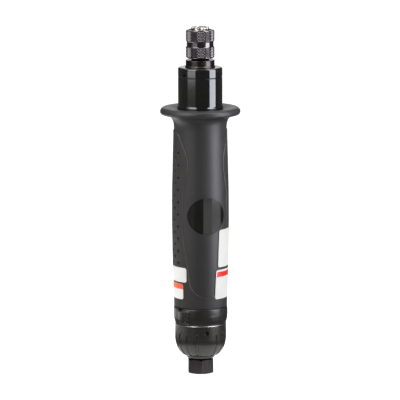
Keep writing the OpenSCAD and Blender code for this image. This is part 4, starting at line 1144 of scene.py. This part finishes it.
world = bpy.data.worlds.new("studio")
bpy.context.scene.world = world
world.use_nodes = True
sky = world.node_tree
back = sky.nodes["Background"]
seen = seen_directly(sky)
level = add(sky, "ShaderNodeMapRange", {"Value": seen.outputs[0]}, To_Min=0.2, To_Max=1.0)
back.inputs["Color"].default_value = (1, 1, 1, 1)
sky.links.new(level.outputs["Result"], back.inputs["Strength"])

# %% [markdown]
# The camera is a long lens about two and a half metres away, a little left of the front and above
# the tool, so that it looks down by nine degrees.

# %% Camera
camera_turn = math.radians(-14.0)
camera_away, camera_up, camera_pitch, camera_roll = 2.42, 0.510, math.radians(9.05), -0.1
sensor, focal_px, picture_px = 36, 3465, 400
camera_data = bpy.data.cameras.new("camera")
camera_data.sensor_width = sensor
camera_data.lens = sensor * focal_px / picture_px
camera_data.clip_start, camera_data.clip_end = 0.1, 50
camera = bpy.data.objects.new("camera", camera_data)
bpy.context.scene.collection.objects.link(camera)
camera.location = spot(camera_away, camera_turn, camera_up)
camera.rotation_euler = (math.pi / 2 - camera_pitch, 0, camera_turn)
camera.rotation_euler.rotate_axis("Z", math.radians(camera_roll))
camera_data.shift_x = -0.4 / picture_px
camera_data.shift_y = -0.9 / picture_px
bpy.context.scene.camera = camera

# %% [markdown]
# Bent cards and strip lights stand round the tool, and only reflections see them. The dark cards
# give the gloss its dark parts, and the strips between them its long highlights. Their places and
# levels were chosen by comparing the render with the photograph, and so were the four levels of
# the left strip, the grey cards on the floor and the low reflector, which the badge mirrors.


# %% Cards and strips that only reflections see
def toward(deg, away, z):
    """A point at an angle from the camera's side of the tool, positive to the picture's right."""
    return Vector(spot(away, camera_turn + math.radians(deg), z))


def glowing(name, level, tint=(1, 1, 1)):
    material, tree, _ = new_material(name, "#000000")
    lamp = add(tree, "ShaderNodeEmission", Color=(*tint, 1), Strength=level)
    tree.links.new(lamp.outputs[0], tree.nodes["Material Output"].inputs["Surface"])
    return material


def screen(name, from_deg, to_deg, finish, path_points):
    """A screen bent round the tool; its path is given as distances and heights in metres."""
    degs = np.linspace(from_deg, to_deg, max(2, int(abs(to_deg - from_deg) / 4) + 1))
    rows = [[tuple(toward(d, away, z) / mm) for d in degs] for away, z in path_points]
    piece = skin(name, rows, around=False)
    piece.data.materials.append(finish)
    piece.visible_camera = piece.visible_diffuse = False
    piece.visible_shadow = piece.visible_transmission = False
    return piece


wall, lift = 1.1, 0.0005
dark = glowing("dark card", 0.1)
screen("card_front", -25, 50, dark, [(0.06, lift), (wall, lift), (wall, 2.2)])
screen("card_right", 85, 165, dark, [(0.16, lift), (wall, lift), (wall, 1.1)])
screen("card_left", -165, -68, dark, [(0.45, lift), (wall, lift), (wall, 1.1)])
screen("card_foot", -180, 180, dark, [(0.05, 2 * lift), (0.16, 2 * lift)])
bright = glowing("strip light, right", 6.3, (0.93, 0.97, 1.04))
screen("strip_right", 50, 85, bright, [(0.3, lift), (wall, lift), (wall, 3.2)])
left_strips = [
    ("low", 0.25, [(0.16, lift), (wall, lift), (wall, 0.0775)]),
    ("mid", 3.1, [(wall, 0.0775), (wall, 0.097)]),
    ("high", 0.7, [(wall, 0.097), (wall, 0.35)]),
    ("top", 4.0, [(wall, 0.35), (wall, 3.2)]),
]
for height, level, strip_path in left_strips:
    screen("strip_left_" + height, -68, -25, glowing("strip light, left, " + height, level), strip_path)
grey = glowing("grey card", 0.35)
screen("card_low_right", 40, 85, grey, [(0.165, 2 * lift), (0.3, 2 * lift)])
screen("card_low_left", -68, -25, grey, [(0.165, 2 * lift), (0.3, 2 * lift)])
screen("reflector", 12, 93, glowing("reflector", 1.3), [(0.5, 3 * lift), (0.93, 3 * lift)])


# %% Soft boxes that light the tool and the floor
def soft_box(name, deg, away, z, width, height, power, aim_z=0.12):
    """A lamp that faces the tool at the height aim_z; reflections don't see it."""
    data = bpy.data.lights.new(name, "AREA")
    data.shape = "RECTANGLE"
    data.size, data.size_y = width, height
    data.energy = power
    light = bpy.data.objects.new(name, data)
    bpy.context.scene.collection.objects.link(light)
    light.location = toward(deg, away, z)
    to_tool = Vector((0, 0, aim_z)) - light.location
    light.rotation_euler = to_tool.to_track_quat("-Z", "Z").to_euler()
    light.visible_glossy = False
    return light


soft_box("box_right", 88, 1.0, 0.45, 0.62, 1.2, 9)
soft_box("box_left", -80, 1.0, 0.45, 0.72, 1.2, 9)
soft_box("box_top", 0, 0.2, 1.6, 1.2, 1.2, 6)

bpy.context.scene.view_settings.view_transform = "Standard"
